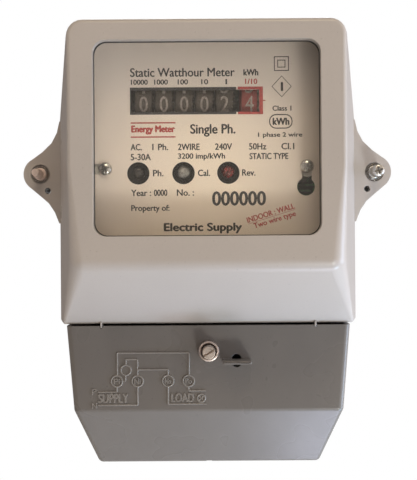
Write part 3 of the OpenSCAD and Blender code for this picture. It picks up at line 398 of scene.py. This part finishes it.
def rounded(w, h, r, cx, cz, n=8):
    """Outline of a rectangle with round corners."""
    points = []
    for sx, sz, start in ((1, 1, 0), (-1, 1, 90), (-1, -1, 180), (1, -1, 270)):
        for k in range(n + 1):
            a = math.radians(start + 90 * k / n)
            points.append((cx + sx * (w / 2 - r) + r * math.cos(a),
                           cz + sz * (h / 2 - r) + r * math.sin(a)))
    return points


def lathe(name, x, z, profile, n=56):
    """A turned solid about the depth axis. The profile is (depth, radius) from one end to the other."""
    bm = bmesh.new()
    rings = []
    for depth, r in profile:
        if r < 1e-6:
            rings.append([bm.verts.new(at(x, depth, z))])
        else:
            rings.append([bm.verts.new(at(px, depth, pz)) for px, pz in circle(x, z, r, n)])
    for a, b in zip(rings, rings[1:]):
        for k in range(n):
            j = (k + 1) % n
            if len(a) == 1:
                bm.faces.new((a[0], b[k], b[j]))
            elif len(b) == 1:
                bm.faces.new((a[k], b[0], a[j]))
            else:
                bm.faces.new((a[k], b[k], b[j], a[j]))
    for ring in (rings[0], rings[-1]):
        if len(ring) > 1:
            bm.faces.new(ring)
    return make(name, bm)


def combine(a, b, operation="DIFFERENCE"):
    """Exact boolean of two solids, made permanent. b is used up."""
    cut = a.modifiers.new("cut", "BOOLEAN")
    cut.operation = operation
    cut.object = b
    cut.solver = "EXACT"
    graph = bpy.context.evaluated_depsgraph_get()
    mesh = bpy.data.meshes.new_from_object(a.evaluated_get(graph))
    a.modifiers.clear()
    a.data = mesh
    bpy.data.objects.remove(b)


def join(name, parts):
    """Several meshes as one object."""
    bm = bmesh.new()
    for part in parts:
        bm.from_mesh(part.data)
        bpy.data.objects.remove(part)
    mesh = bpy.data.meshes.new(name)
    bm.to_mesh(mesh)
    bm.free()
    obj = bpy.data.objects.new(name, mesh)
    bpy.context.scene.collection.objects.link(obj)
    return obj


def soften(obj, angle=32):
    """Cleans a mesh and shades it smooth between its real edges."""
    bm = bmesh.new()
    bm.from_mesh(obj.data)
    bmesh.ops.remove_doubles(bm, verts=bm.verts, dist=MERGE * MM)
    bmesh.ops.dissolve_limit(bm, angle_limit=math.radians(0.15), verts=bm.verts, edges=bm.edges)
    bm.to_mesh(obj.data)
    bm.free()
    obj.data.shade_smooth()
    obj.data.set_sharp_from_angle(angle=math.radians(angle))
    fair = obj.modifiers.new("fair_normals", "WEIGHTED_NORMAL")
    fair.keep_sharp = True
    return obj


def finish_piece(obj, body, slot_name, material=None, replaces=()):
    """Gives a piece its material, named by its record slot unless another is given, puts it on its body and
    hides the nodes that it replaces.
    """
    obj.data.materials.clear()
    obj.data.materials.append(materials[material or slot_name])
    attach(obj, body)
    if replaces:
        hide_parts(*replaces)


# ---- Main cover ----

BASE_D, FRONT_D, WALL = 28, 82, 2
HALF_W, SHOULDER_Z, BOTTOM_Z = 62.4, 49, -34
TOP_HALF_W, TOP_Z, TOP_R = 59.6, 91, 4.5
DRAFT = 0.198  # how far the sides lean in over each mm of depth
FLARE = 2 * DRAFT  # the shell is drawn 2 mm past its rim, where the sides would be this much wider
FRONT_HALF_W, FRONT_R, FRONT_X = 51.7, 6, 45.7
FRONT_TOP_Z, FRONT_FOLD_Z, SLOPE_TOP_Z = 75.5, 27, -7
FOOT_R, FOOT_RISE = 1, 15


def cover_points(t):
    """Points of the case's outside, or of its inside at wall thickness t."""
    foot_r = FOOT_R - 0.4 * t
    fold_r = 1.8 - 0.7 * t
    rim_d = 26 - 0.3 * t
    front_d = FRONT_D - t - fold_r
    step = FRONT_R - t - fold_r
    points = []
    for s in (-1, 1):
        for z in (BOTTOM_Z + t + foot_r, SHOULDER_Z):
            points += disc(s * (HALF_W + FLARE - t - foot_r), rim_d, z, foot_r)
        points += disc(s * (TOP_HALF_W + FLARE - TOP_R), rim_d, TOP_Z + FLARE - TOP_R, TOP_R - t)
        points += ball(s * (FRONT_HALF_W - t - fold_r), front_d, FRONT_FOLD_Z, fold_r)
        points += ball(s * FRONT_X, FRONT_D - FRONT_R, SLOPE_TOP_Z, FRONT_R - t)
        for k in range(7):
            a = math.radians(15 * k)
            points += ball(s * (FRONT_X + step * math.cos(a)), front_d,
                           FRONT_TOP_Z + step * math.sin(a), fold_r)
        points += ball(s * (HALF_W - DRAFT * FOOT_RISE - FOOT_R - 0.6 * t), 42 - 0.2 * t,
                       BOTTOM_Z + FOOT_R + 0.6 * t, foot_r)
    return points


EAR_X, EAR_Z, EAR_R = 69.9, 28, 7
EAR = Vector((EAR_X, EAR_Z))


def ear_outline(s):
    """Outline of the left (-1) or right (1) ear: a round end on two hollow flanks."""
    pts = [(57, 50), (61.8, 50), (62.9, 45.2), (65.1, 41), (69, 37.2)]
    for k in range(17):
        a = math.radians(62 - 110 * k / 16)
        pts.append((EAR_X + EAR_R * math.cos(a), EAR_Z + EAR_R * math.sin(a)))
    pts += [(69.6, 18.6), (66.4, 15.8), (63.9, 12), (62.1, 7.4), (57, 7.4)]
    return [(s * x, z) for x, z in pts]


WINDOW_W, WINDOW_H, WINDOW_R = 83.9, 72.1, 4.8
COLLAR = 2
CLIP_BOSS_X, CLIP_BOSS_ZS = 45.4, (18, 42)
NIB_X = 43.6
cover = hull("cover_shell", cover_points(0))
for s in (-1, 1):
    ear = prism("ear", ear_outline(s), BASE_D - 2, BASE_D + 5)
    combine(cover, ear, "UNION")
combine(cover, hull("hollow", cover_points(WALL)))
combine(cover, box("clear", -80, 80, -5, BASE_D, -60, 110))
collar = rounded(WINDOW_W + 2 * COLLAR, WINDOW_H + 2 * COLLAR, WINDOW_R + COLLAR, 0, WINDOW_Z)
combine(cover, prism("collar", collar, 78.5, 81), "UNION")
for s in (-1, 1):
    for z in CLIP_BOSS_ZS:
        combine(cover, prism("boss", circle(s * CLIP_BOSS_X, z, 1.1, 20), 73.7, 81), "UNION")
    combine(cover, box("nib", s * NIB_X - 0.35, s * NIB_X + 0.35, 36, 44.3, -35.4, -33), "UNION")
combine(cover, prism("window", rounded(WINDOW_W, WINDOW_H, WINDOW_R, 0, WINDOW_Z, 12), 70, 90))
for s in (-1, 1):
    combine(cover, prism("hole", circle(s * EAR.x, EAR.y, 2.05), 20, 40))
    combine(cover, prism("recess", circle(s * EAR.x, EAR.y, 3.95, 48), 32, 40))
    combine(cover, prism("seal_hole", circle(s * 66.8, 21, 1.25), 20, 40))
soften(cover)
finish_piece(cover, "cover", "case_paint", replaces=["main_cover"])

# ---- Terminal cover ----

LID_D, LID_R = 44, 2.5
LID_TOP = ((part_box("terminal_cover")[1].x - ORIGIN.x) / MM - LID_R, -29)
LID_FOLD = (52.6, -68.5)
LID_FOOT = (45.3, -92.3)


def lid_points(t):
    """Points of the terminal cover's outside, or of its inside at wall thickness t."""
    r = LID_R - t
    points = []
    for s in (-1, 1):
        for x, z in (LID_TOP, LID_FOLD, LID_FOOT):
            points += disc(s * x, 20 - t / 2, z, r)
        for (x, z), depth in ((LID_TOP, LID_D - LID_R), (LID_FOLD, LID_D - LID_R), (LID_FOOT, 22.5)):
            points += ball(s * x, depth, z, r)
    return points


lo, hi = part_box("terminal_cover_ferrule")
SCREW = (((lo.x + hi.x) / 2 - ORIGIN.x) / MM, ((lo.z + hi.z) / 2 - ORIGIN.z) / MM)
TAB = (11.4, -48.9)
TAB_FRONT = 54
lid = hull("lid_shell", lid_points(0))
combine(lid, hull("lid_hollow", lid_points(WALL)))
combine(lid, box("lid_clear", -80, 80, 0, 60, -34.7, 0))
combine(lid, prism("lid_boss", circle(*SCREW, 5.8, 48), 40, 43), "UNION")
combine(lid, prism("ferrule_hole", circle(*SCREW, 4.2, 64), 38, 50))
for s in (-1, 1):
    combine(lid, box("nib_notch", s * NIB_X - 0.5, s * NIB_X + 0.5, 40, 46, -35.6, -30))
combine(lid, box("foot_notch", -1.2, 1.2, 15, 28, -96, -94.4))
wire_way = ball(TAB[0], 43, TAB[1] + 0.5, 2.2) + ball(TAB[0], 43, TAB[1] - 0.9, 2.2)
combine(lid, hull("wire_way", wire_way))
soften(lid)
finish_piece(lid, "lid", "lid_plastic", replaces=["terminal_cover"])

# The sealing tab, rounded at its front corners, with the wire's way past it
tab = prism("lid_seal_tab", rounded(11.6, 1.35, 0.35, *TAB, 4), 42.5, TAB_FRONT)
bm = bmesh.new()
bm.from_mesh(tab.data)
front = [e for e in bm.edges if all(abs(v.co.y - at(0, TAB_FRONT, 0).y) < 1e-6 for v in e.verts)]
bmesh.ops.bevel(bm, geom=front, offset=0.5 * MM, segments=3, affect="EDGES")
bm.to_mesh(tab.data)
bm.free()
combine(tab, hull("tab_bore", wire_way))
soften(tab)
finish_piece(tab, "lid", "lid_plastic")

# Raised wiring diagram: half-round ridges and rings
TRACES = [
    (-36.3, -46.0, -7.1, -46.0), (-36.3, -55.2, -36.3, -46.0), (-7.1, -55.2, -7.1, -46.0),
    (-32.8, -48.6, -28.1, -48.6), (-32.8, -51.0, -32.8, -48.6), (-28.1, -55.3, -28.1, -48.6),
    (-28.1, -52.8, -15.7, -52.8), (-15.7, -55.3, -15.7, -52.8),
    (-33.0, -57.4, -33.0, -55.0), (-34.4, -57.4, -33.0, -57.4),
    (-44.2, -61.9, -36.5, -61.9), (-36.5, -61.9, -36.5, -59.7),
    (-44.2, -67.2, -28.1, -67.2), (-28.1, -67.2, -28.1, -59.7),
    (-15.7, -66.9, -15.7, -59.7), (-15.7, -66.9, -0.3, -66.9),
    (-7.3, -61.5, -7.3, -59.7), (-7.3, -61.5, -0.3, -61.5),
]
LOOPS = [(x, -57.5, 2.25) for x in (-36.5, -28.1, -15.7, -7.3)]
LOOPS += [(-32.8, -53.0, 2.05), (-2.2, -64.6, 1.6)]
RIDGE_R = 0.4
DIAGRAM_SHIFT = Vector((-0.9, 0, 0.3))


def ridge(name, points, r, depth, closed=False):
    """A round bar along an (x, z) path, half sunk in a face at that depth."""
    curve = bpy.data.curves.new(name, "CURVE")
    curve.dimensions = "3D"
    curve.bevel_depth = r * MM
    curve.bevel_resolution = 3
    curve.use_fill_caps = True
    line = curve.splines.new("POLY")
    line.points.add(len(points) - 1)
    for point, (x, z) in zip(line.points, points):
        point.co = (*at(x, depth, z), 1)
    line.use_cyclic_u = closed
    obj = bpy.data.objects.new(name, curve)
    bpy.context.scene.collection.objects.link(obj)
    graph = bpy.context.evaluated_depsgraph_get()
    mesh = bpy.data.meshes.new_from_object(obj.evaluated_get(graph))
    bpy.data.objects.remove(obj)
    obj = bpy.data.objects.new(name, mesh)
    bpy.context.scene.collection.objects.link(obj)
    return obj


ridges = [ridge("trace", [(a, b), (c, d)], RIDGE_R, LID_D + 0.04) for a, b, c, d in TRACES]
ridges += [ridge("loop", circle(x, z, r, 40), RIDGE_R, LID_D + 0.04, True) for x, z, r in LOOPS]


def text_mesh(text, depth, lift=0.03, x0=0.0, x1=None, z0=0.0, z1=1.0, bold=0.0):
    """Lettering fitted to a box in mm, as a thin raised mesh on a face at that depth.
    bold is how far in mm the furthest of three more copies is shifted, to thicken the strokes."""
    curve = bpy.data.curves.new("lettering", "FONT")
    curve.body = text
    curve.resolution_u = 4
    curve.fill_mode = "BOTH"
    curve.extrude = 0.5
    obj = bpy.data.objects.new("lettering", curve)
    bpy.context.scene.collection.objects.link(obj)
    graph = bpy.context.evaluated_depsgraph_get()
    mesh = bpy.data.meshes.new_from_object(obj.evaluated_get(graph))
    bpy.data.objects.remove(obj)
    xs = [v.co.x for v in mesh.vertices]
    ys = [v.co.y for v in mesh.vertices]
    kz = (z1 - z0) / (max(ys) - min(ys))
    kx = kz if x1 is None else (x1 - x0) / (max(xs) - min(xs))
    for v in mesh.vertices:
        v.co = at(x0 + (v.co.x - min(xs)) * kx, depth + v.co.z * 2 * lift, z0 + (v.co.y - min(ys)) * kz)
    copies = []
    for dx, dz in ((0, 0), (bold, 0), (bold / 2, bold / 3), (bold / 2, -bold / 3)):
        if dx or not copies:
            shifted = mesh.copy()
            shifted.transform(Matrix.Translation(Vector((dx - bold / 2, -0.004 * len(copies), dz)) * MM))
            obj = bpy.data.objects.new("lettering", shifted)
            bpy.context.scene.collection.objects.link(obj)
            copies.append(obj)
    return copies[0] if len(copies) == 1 else join("lettering", copies)


def centred(text, depth, cx, cz, w, h, **more):
    """Lettering fitted to a box round its middle."""
    return text_mesh(text, depth, x0=cx - w / 2, x1=cx + w / 2, z0=cz - h / 2, z1=cz + h / 2, **more)


raised = [
    text_mesh("SUPPLY", LID_D, 0.34, -44.0, -31.9, -66.2, -62.6, 0.45),
    text_mesh("LOAD", LID_D, 0.34, -14.3, -5.3, -66.1, -62.6, 0.45),
    text_mesh("P", LID_D, 0.3, -46.6, -44.9, -63.0, -60.5, 0.25),
    text_mesh("N", LID_D, 0.3, -46.6, -44.7, -68.6, -66.2, 0.25),
    ridge("cross_a", [(-3.35, -65.75), (-1.05, -63.45)], 0.32, LID_D),
    ridge("cross_b", [(-3.35, -63.45), (-1.05, -65.75)], 0.32, LID_D),
]
for (x, z, _), letters in zip(LOOPS, ("Pi", "Ni", "No", "Po")):
    raised.append(centred(letters, LID_D, x, z, 2.5, 2.2, lift=0.38, bold=0.25))
diagram = join("lid_raised_diagram", ridges + raised)
diagram.data.transform(Matrix.Translation(DIAGRAM_SHIFT * MM))
diagram.data.shade_smooth()
diagram.data.set_sharp_from_angle(angle=math.radians(40))
finish_piece(diagram, "lid", "lid_plastic", "lid_ridges")

# ---- Screws, washers and the ferrule ----


def rod_across(x, depth, z, r, reach, tilt):
    """A round bar across a screw head, for its sealing wire hole."""
    bar = lathe("wire_hole", 0, 0, [(-reach, r), (reach, r)], 20)
    turn = Matrix.Rotation(math.radians(tilt), 4, "Y") @ Matrix.Rotation(math.radians(90), 4, "Z")
    bar.data.transform(Matrix.Translation(at(x, depth, z)) @ turn @ Matrix.Translation(-ORIGIN))
    return bar


def blade(x, z, half_length, half_width, d0, d1, tilt):
    """A straight slot in a screw head."""
    a = math.radians(tilt)
    corners = [(u * half_length, v * half_width) for u, v in ((-1, -1), (1, -1), (1, 1), (-1, 1))]
    outline = [(x + u * math.cos(a) - v * math.sin(a), z + u * math.sin(a) + v * math.cos(a))
               for u, v in corners]
    return prism("slot", outline, d0, d1)


def threaded(d0, d1, r, pitch=0.5):
    """Profile of a screw shank with thread ridges, from its tip."""
    profile = [(d0, 0), (d0, r * 0.7)]
    count = int((d1 - d0 - 0.8) / pitch)
    for k in range(count):
        profile += [(d0 + 0.4 + pitch * k, r * 0.86), (d0 + 0.4 + pitch * (k + 0.5), r)]
    return profile + [(d1, r * 0.9)]


def dome(d0, r, height, edge=0.2, n=7):
    """Profile of a domed head from its rim to its middle."""
    profile = [(d0, r - edge * 0.3), (d0 + edge * 0.3, r), (d0 + edge, r)]
    for k in range(1, n + 1):
        a = math.radians(90 * k / n)
        profile.append((d0 + edge + (height - edge) * math.sin(a), r * math.cos(a)))
    return profile


def cross(head, x, z, length, width, d0, d1, tilt):
    """Cuts a cross recess in a screw head."""
    for turn in (0, 90):
        combine(head, blade(x, z, length, width, d0, d1, tilt + turn))
    return head


plate_screws = []
for x, z, tilt in ((-39, 27.4, 20), (38.2, 28, 50)):
    screw = lathe("plate_screw", x, z, threaded(56.2, 66, 1.24) + dome(66, 2.65, 1.8))
    plate_screws.append(cross(screw, x, z, 1.75, 0.36, 66.9, 69, tilt))
plate_screws = soften(join("plate_screw_pair", plate_screws), 30)
finish_piece(plate_screws, "base", record_slots["dial_plate_screws"], "bright_steel", ["dial_plate_screws"])

# The two sealing screws share a threaded shank and a collar. The left has a post and the right a domed head
EAR_SHANK = threaded(16.5, 30, 1.69)
EAR_COLLAR = [(32.8, 1.69), (32.8, 2.45), (32.95, 2.6), (34.0, 2.6)]
LEFT_POST = [(34.2, 2.4), (34.2, 1.62), (34.4, 1.75), (38, 1.75), (38.4, 1.55), (44.5, 1.55), (44.8, 1.3),
             (44.8, 0)]
left = lathe("left_sealing_screw", -EAR.x, EAR.y, EAR_SHANK + EAR_COLLAR + LEFT_POST)
combine(left, rod_across(-EAR.x, 41.4, EAR.y, 0.6, 4, 0))
soften(left, 30)
finish_piece(left, "left_ear_screw", record_slots["ear_screw_left"], "copper_steel", ["ear_screw_left"])

right = lathe("right_sealing_screw", EAR.x, EAR.y,
              EAR_SHANK + EAR_COLLAR + [(34.2, 2.3)] + dome(34.3, 2.5, 9.5, 8.3))
cross(right, EAR.x, EAR.y, 1.7, 0.4, 42.4, 46, 15)
combine(right, rod_across(EAR.x, 40.4, EAR.y, 0.6, 4, 0))
soften(right, 30)
finish_piece(right, "right_ear_screw", record_slots["ear_screw_right"], "zinc_steel", ["ear_screw_right"])

# A washer's profile starts and ends at its hole, so the two end caps give way to the hole's wall
WASHER = [(32, 2.0), (32, 3.45), (32.15, 3.6), (32.6, 3.6), (32.8, 3.45), (32.8, 3.25), (32.4, 2.95),
          (32.4, 2.2), (32.3, 2.0)]
washers = [lathe("washer", s * EAR.x, EAR.y, WASHER) for s in (-1, 1)]
for washer in washers:
    bm = bmesh.new()
    bm.from_mesh(washer.data)
    caps = [f for f in bm.faces if len(f.verts) > 4]
    rims = [list(f.edges) for f in caps]
    bmesh.ops.delete(bm, geom=caps, context="FACES_ONLY")
    bmesh.ops.bridge_loops(bm, edges=rims[0] + rims[1])
    bm.to_mesh(washer.data)
    bm.free()
washers = soften(join("washer_pair", washers), 30)
finish_piece(washers, "cover", record_slots["ear_washers"], "bright_steel", ["ear_washers"])

FERRULE = [(40, 0), (40, 4.05), (40.15, 4.18), (46.5, 4.18), (46.85, 4.05), (47, 3.7), (46.85, 3.35),
           (46.5, 3.2), (41.6, 3.2), (41.6, 0)]
ferrule = lathe("ferrule", *SCREW, FERRULE, 64)
combine(ferrule, prism("through", circle(*SCREW, 1.7, 40), 38, 44))
soften(ferrule, 30)
finish_piece(ferrule, "lid", record_slots["terminal_cover_ferrule"], "bright_nickel",
             ["terminal_cover_ferrule"])

LID_SCREW_HEAD = [(41.6, 1.49), (41.6, 2.6), (52.0, 2.6), (52.35, 2.5), (52.5, 2.2), (52.5, 0)]
screw = lathe("lid_screw_head", *SCREW, threaded(24, 40, 1.49) + LID_SCREW_HEAD, 64)
combine(screw, blade(*SCREW, 4, 0.42, 51.0, 54, 30))
combine(screw, rod_across(SCREW[0], 49.3, SCREW[1], 0.6, 5, 120))
soften(screw, 30)
finish_piece(screw, "lid_screw", record_slots["terminal_cover_screw"], "pale_nickel",
             ["terminal_cover_screw"])

# ---- Printing on the dial plate ----

PLATE_D = 66
HEADING_Z = (59.6, 61.5)
RATING_Z = (34.5, 36.9)
LAMP_Z = (24.5, 26.9)
YEAR_Z = (17.0, 19.4)
SLOT_TOP, SLOT_FOOT = 57.5, 49.0  # the counter's slot, whose frame is printed round it
SLANT = -17


def flat(x0, x1, z0, z1):
    """A printed bar."""
    return box("bar", x0, x1, PLATE_D - 0.01, PLATE_D + 0.03, z0, z1)


def words(text, x0, x1, z0, z1, bold=0.18):
    """Printed lettering, fitted to a box."""
    return text_mesh(text, PLATE_D, 0.03, x0, x1, z0, z1, bold)


def frame_bars(x0, x1, z0, z1, w):
    """The four bars of a printed frame."""
    return [flat(x0, x1, z0, z0 + w), flat(x0, x1, z1 - w, z1),
            flat(x0, x0 + w, z0 + w, z1 - w), flat(x1 - w, x1, z0 + w, z1 - w)]


black = [
    words("Static Watthour Meter", -29.2, 10.7, 62.6, 65.9, 0.2),
    words("kWh", 14.2, 19.7, 62.9, 65.2, 0.25),
    words("10000", -28.9, -22.6, *HEADING_Z),
    words("1000", -20.0, -14.9, *HEADING_Z),
    words("100", -11.0, -7.2, *HEADING_Z),
    words("10", -2.0, 0.5, *HEADING_Z),
    words("1", 7.3, 7.75, *HEADING_Z),
    words("AC.", -29.2, -25.0, *RATING_Z),
    words("1 Ph.", -20.9, -14.9, *RATING_Z),
    words("2WIRE", -11.1, -2.9, *RATING_Z),
    words("240V", 3.1, 9.5, *RATING_Z),
    words("50Hz", 16.1, 22.6, *RATING_Z),
    words("Cl.1", 28.5, 33.3, *RATING_Z),
    words("5-30A", -29.2, -21.6, 30.7, 33.1),
    words("3200 imp/kWh", -11.1, 6.8, 30.5, 33.2),
    words("STATIC TYPE", 16.3, 31.0, 30.8, 33.1),
    words("Ph.", -20.7, -16.8, *LAMP_Z),
    words("Cal.", -3.5, 1.0, *LAMP_Z),
    words("Rev.", 13.4, 18.4, *LAMP_Z),
    words("Year :", -29.1, -21.6, *YEAR_Z),
    words("No. :", -11.6, -5.2, *YEAR_Z),
    words("Property of:", -29.1, -14.6, 10.6, 13.5),
]
black += [words("0000", -20.4, -15.4, *YEAR_Z), words("000000", 2.0, 22.2, 13.2, 18.5, 0.45)]
black += [words("Electric Supply", -16.6, 13.0, 2.6, 6.5, 0.42)]
black += frame_bars(25.8, 31.5, 64.5, 70.1, 0.32) + frame_bars(27.1, 30.2, 65.8, 68.8, 0.32)
black += [flat(-29.4, 11.3, SLOT_TOP, 58.5), flat(-29.4, 11.3, 48.1, SLOT_FOOT),
          flat(-29.4, -29.02, SLOT_FOOT, SLOT_TOP)]
# The slot's cut walls are lined in black ink: painted shade along the inside of the counter's slot
black += [box("shade_lining", -29.02, 11.3, 65.02, PLATE_D, z, z + 0.08) for z in (SLOT_FOOT, 57.42)]
black += [box("shade_lining", -29.02, -28.94, 65.02, PLATE_D, 49.08, 57.42)]
mark = [(28.7, 62.6), (32.4, 58.6), (28.7, 54.6), (25.0, 58.6)]
black += [ridge("mark", mark, 0.16, PLATE_D, True),
          ridge("mark", rounded(8.6, 5.2, 2.5, 28.3, 45.2, 6), 0.2, PLATE_D, True)]
black += [words("kWh", 25.3, 31.4, 43.9, 46.5, 0.35), words("1", 28.5, 29.1, 56.9, 60.1, 0.3)]
black += [words("Class 1", 25.2, 32.3, 49.3, 51.2), words("1 phase 2 wire", 19.6, 36.4, 38.8, 41.0)]
black += [words("Single Ph.", -6.3, 10.8, 39.6, 44.3, 0.3)]
black_print = join("plate_print_black", black)
finish_piece(black_print, "base", "plate_print", "ink_black")

red = [
    words("1/10", 14.8, 19.3, 59.6, 61.6),
    flat(11.9, 21.5, SLOT_TOP, 58.6), flat(11.9, 21.5, 48.0, SLOT_FOOT),
    flat(20.12, 21.5, SLOT_FOOT, SLOT_TOP),
    flat(21.4, 22.5, 53.1, 53.5),
    flat(-29.2, -12.0, 44.7, 45.2), flat(-29.2, -12.0, 39.3, 39.8),
    words("Energy Meter", -28.8, -12.4, 40.6, 43.9, 0.4),
]
slanted = [words("INDOOR : WALL", 15.6, 34.4, 6.4, 8.5), words("Two wire type", 17.4, 34.0, 3.0, 5.6),
           flat(15.6, 34.4, 5.9, 6.05)]
pivot = at(15.5, PLATE_D, 6)
slant = Matrix.Rotation(math.radians(SLANT), 4, "Y")
tilt = Matrix.Translation(pivot) @ slant @ Matrix.Translation(-pivot)
for part in slanted:
    part.data.transform(tilt)
red_print = join("plate_print_red", red + slanted)
finish_piece(red_print, "base", "plate_print", "ink_red")

# ---- Figures round the drums ----

FIGURE_W, ONE_W, FIGURE_HALF_H = 3.1, 1.0, 3.0
FIGURE_LEAN = 4.5  # degrees that the shown figures stand off the slot's middle
STRIP = 0.4  # a figure is cut into strips this high, so that it can bend round its drum
# Each drum's middle in mm and the figure that it shows
DRUMS = {"tenths": (16.4, 4), "units": (6.9, 2), "tens": (-0.9, 0), "hundreds": (-8.7, 0),
         "thousands": (-16.5, 0), "ten_thousands": (-24.3, 0)}
for drum, (x, shown) in DRUMS.items():
    lo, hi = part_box("drum_" + drum)
    axis = Vector((ORIGIN.x, (lo.y + hi.y) / 2, (lo.z + hi.z) / 2))
    drum_r = (hi.z - lo.z) / 2
    figures = []
    for n in range(10):
        w = ONE_W if n == 1 else FIGURE_W
        flat_figure = text_mesh(str(n), 0, 0.03, -w / 2, w / 2, -FIGURE_HALF_H, FIGURE_HALF_H, 0.12)
        bm = bmesh.new()
        bm.from_mesh(flat_figure.data)
        bmesh.ops.transform(bm, matrix=Matrix.Translation(-ORIGIN), verts=bm.verts)
        for k in range(-6, 7):
            geom = list(bm.verts) + list(bm.edges) + list(bm.faces)
            bmesh.ops.bisect_plane(bm, geom=geom, plane_co=(0, 0, STRIP * k * MM), plane_no=(0, 0, 1))
        turn = math.radians(36 * (n - shown) - FIGURE_LEAN)
        for v in bm.verts:
            angle = turn + v.co.z / drum_r
            radius = drum_r - v.co.y + 0.015 * MM
            v.co = Vector((ORIGIN.x + x * MM + v.co.x, axis.y - radius * math.cos(angle),
                           axis.z + radius * math.sin(angle)))
        bm.to_mesh(flat_figure.data)
        bm.free()
        figures.append(flat_figure)
    figures = join("figures_" + drum, figures)
    figures.data.shade_smooth()
    finish_piece(figures, drum + "_drum", "white_plastic", "ink_white")

# ---- Light ----


def area_light(name, place, size, power, colour, aim=(0, 0, 0)):
    """A square light that the camera doesn't see. Places are in metres and power in watts."""
    data = bpy.data.lights.new(name, "AREA")
    data.size = size
    data.energy = power
    data.color = colour
    obj = bpy.data.objects.new(name, data)
    bpy.context.scene.collection.objects.link(obj)
    obj.location = place
    obj.rotation_euler = (Vector(aim) - Vector(place)).to_track_quat("-Z", "Y").to_euler()
    obj.visible_camera = False


area_light("key", (0.264, -0.60, -0.504), 0.13, 1.73, (1, 0.98, 0.93), (0, -0.04, 0))
area_light("fill", (-0.35, -1.0, 0.75), 0.9, 1.91, (1.0, 0.80, 0.65))
area_light("high", (0.1, -0.6, 0.85), 0.4, 3.04, (1.0, 0.84, 0.62), (0, -0.06, 0.02))
area_light("side", (0.55, -0.10, -0.10), 0.3, 1.77, (0.58, 0.74, 1.0), (0, -0.04, 0.02))
area_light("low", (0.15, -0.075, -0.175), 0.06, 0.15, (0.52, 0.78, 1.0), (0.01, -0.04, -0.07))
area_light("under", (0.17, -0.06, -0.5), 0.22, 0.85, (0.75, 0.79, 1.0), (0.05, -0.05, -0.08))
area_light("back", (0, 1.1, 0.4), 0.6, 7, (0.92, 0.96, 1.0))

# The room: white where the camera looks, and soft light from the right and left
world = bpy.data.worlds.new("studio")
bpy.context.scene.world = world
world.use_nodes = True
tree = world.node_tree
tree.nodes.remove(tree.nodes["Background"])
direction = tree.nodes.new("ShaderNodeSeparateXYZ")
tree.links.new(tree.nodes.new("ShaderNodeTexCoord").outputs["Generated"], direction.inputs[0])


def room_light(axis, sign, colour, others):
    """Light from one side of the room, added to the others."""
    side = tree.nodes.new("ShaderNodeMath")
    side.operation = "MULTIPLY"
    side.use_clamp = True
    side.inputs[1].default_value = sign
    tree.links.new(direction.outputs[axis], side.inputs[0])
    glow = tree.nodes.new("ShaderNodeBackground")
    glow.inputs["Color"].default_value = (*colour, 1)
    tree.links.new(side.outputs[0], glow.inputs["Strength"])
    if others is None:
        return glow.outputs[0]
    total = tree.nodes.new("ShaderNodeAddShader")
    tree.links.new(others, total.inputs[0])
    tree.links.new(glow.outputs[0], total.inputs[1])
    return total.outputs[0]


room = room_light("X", 1, (1.17, 1.02, 0.90), None)
room = room_light("X", -1, (0.55, 0.486, 0.45), room)
white = tree.nodes.new("ShaderNodeBackground")
white.inputs["Color"].default_value = (1, 1, 1, 1)
choose = tree.nodes.new("ShaderNodeMixShader")
tree.links.new(tree.nodes.new("ShaderNodeLightPath").outputs["Is Camera Ray"], choose.inputs[0])
tree.links.new(room, choose.inputs[1])
tree.links.new(white.outputs[0], choose.inputs[2])
tree.links.new(choose.outputs[0], tree.nodes["World Output"].inputs["Surface"])

# The floor: a pale disc that fades out towards its rim
FLOOR_Z = -0.6
FLOOR_R = 1200
FADE_FROM, FADE_TO = 0.85, 1.3
floor = prism("studio_floor", [(FLOOR_R * x, FLOOR_R * z) for x, z in circle(0, 0, 1, 64)], -1, 0)
lay_flat = Matrix.Rotation(math.radians(90), 4, "X")
floor.data.transform(Matrix.Translation((0, 0, FLOOR_Z)) @ lay_flat @ Matrix.Translation(-ORIGIN))
floor_shade = Shade("floor_pale", Base_Color=(0.72, 0.80, 0.95, 1), Roughness=0.8)
seen = floor_shade.add("ShaderNodeLightPath").outputs["Is Camera Ray"]
pale = floor_shade.mix(floor_shade.noise(3), (0.64, 0.74, 0.94), (0.68, 0.78, 0.98))
floor_shade.colour(floor_shade.mix(seen, (0.74, 0.72, 0.66), pale))
floor_shade.shader.inputs["Emission Color"].default_value = (1, 1, 1, 1)
floor_shade.link(floor_shade.math("MULTIPLY", seen, 0.12), floor_shade.shader.inputs["Emission Strength"])
rim = floor_shade.add("ShaderNodeVectorMath", operation="LENGTH")
floor_shade.link(floor_shade.coords, rim.inputs[0])
fade = floor_shade.fit(rim.outputs["Value"], FADE_FROM, FADE_TO, 1, 0)
floor_shade.link(fade, floor_shade.shader.inputs["Alpha"])
floor.data.materials.append(materials["floor_pale"])
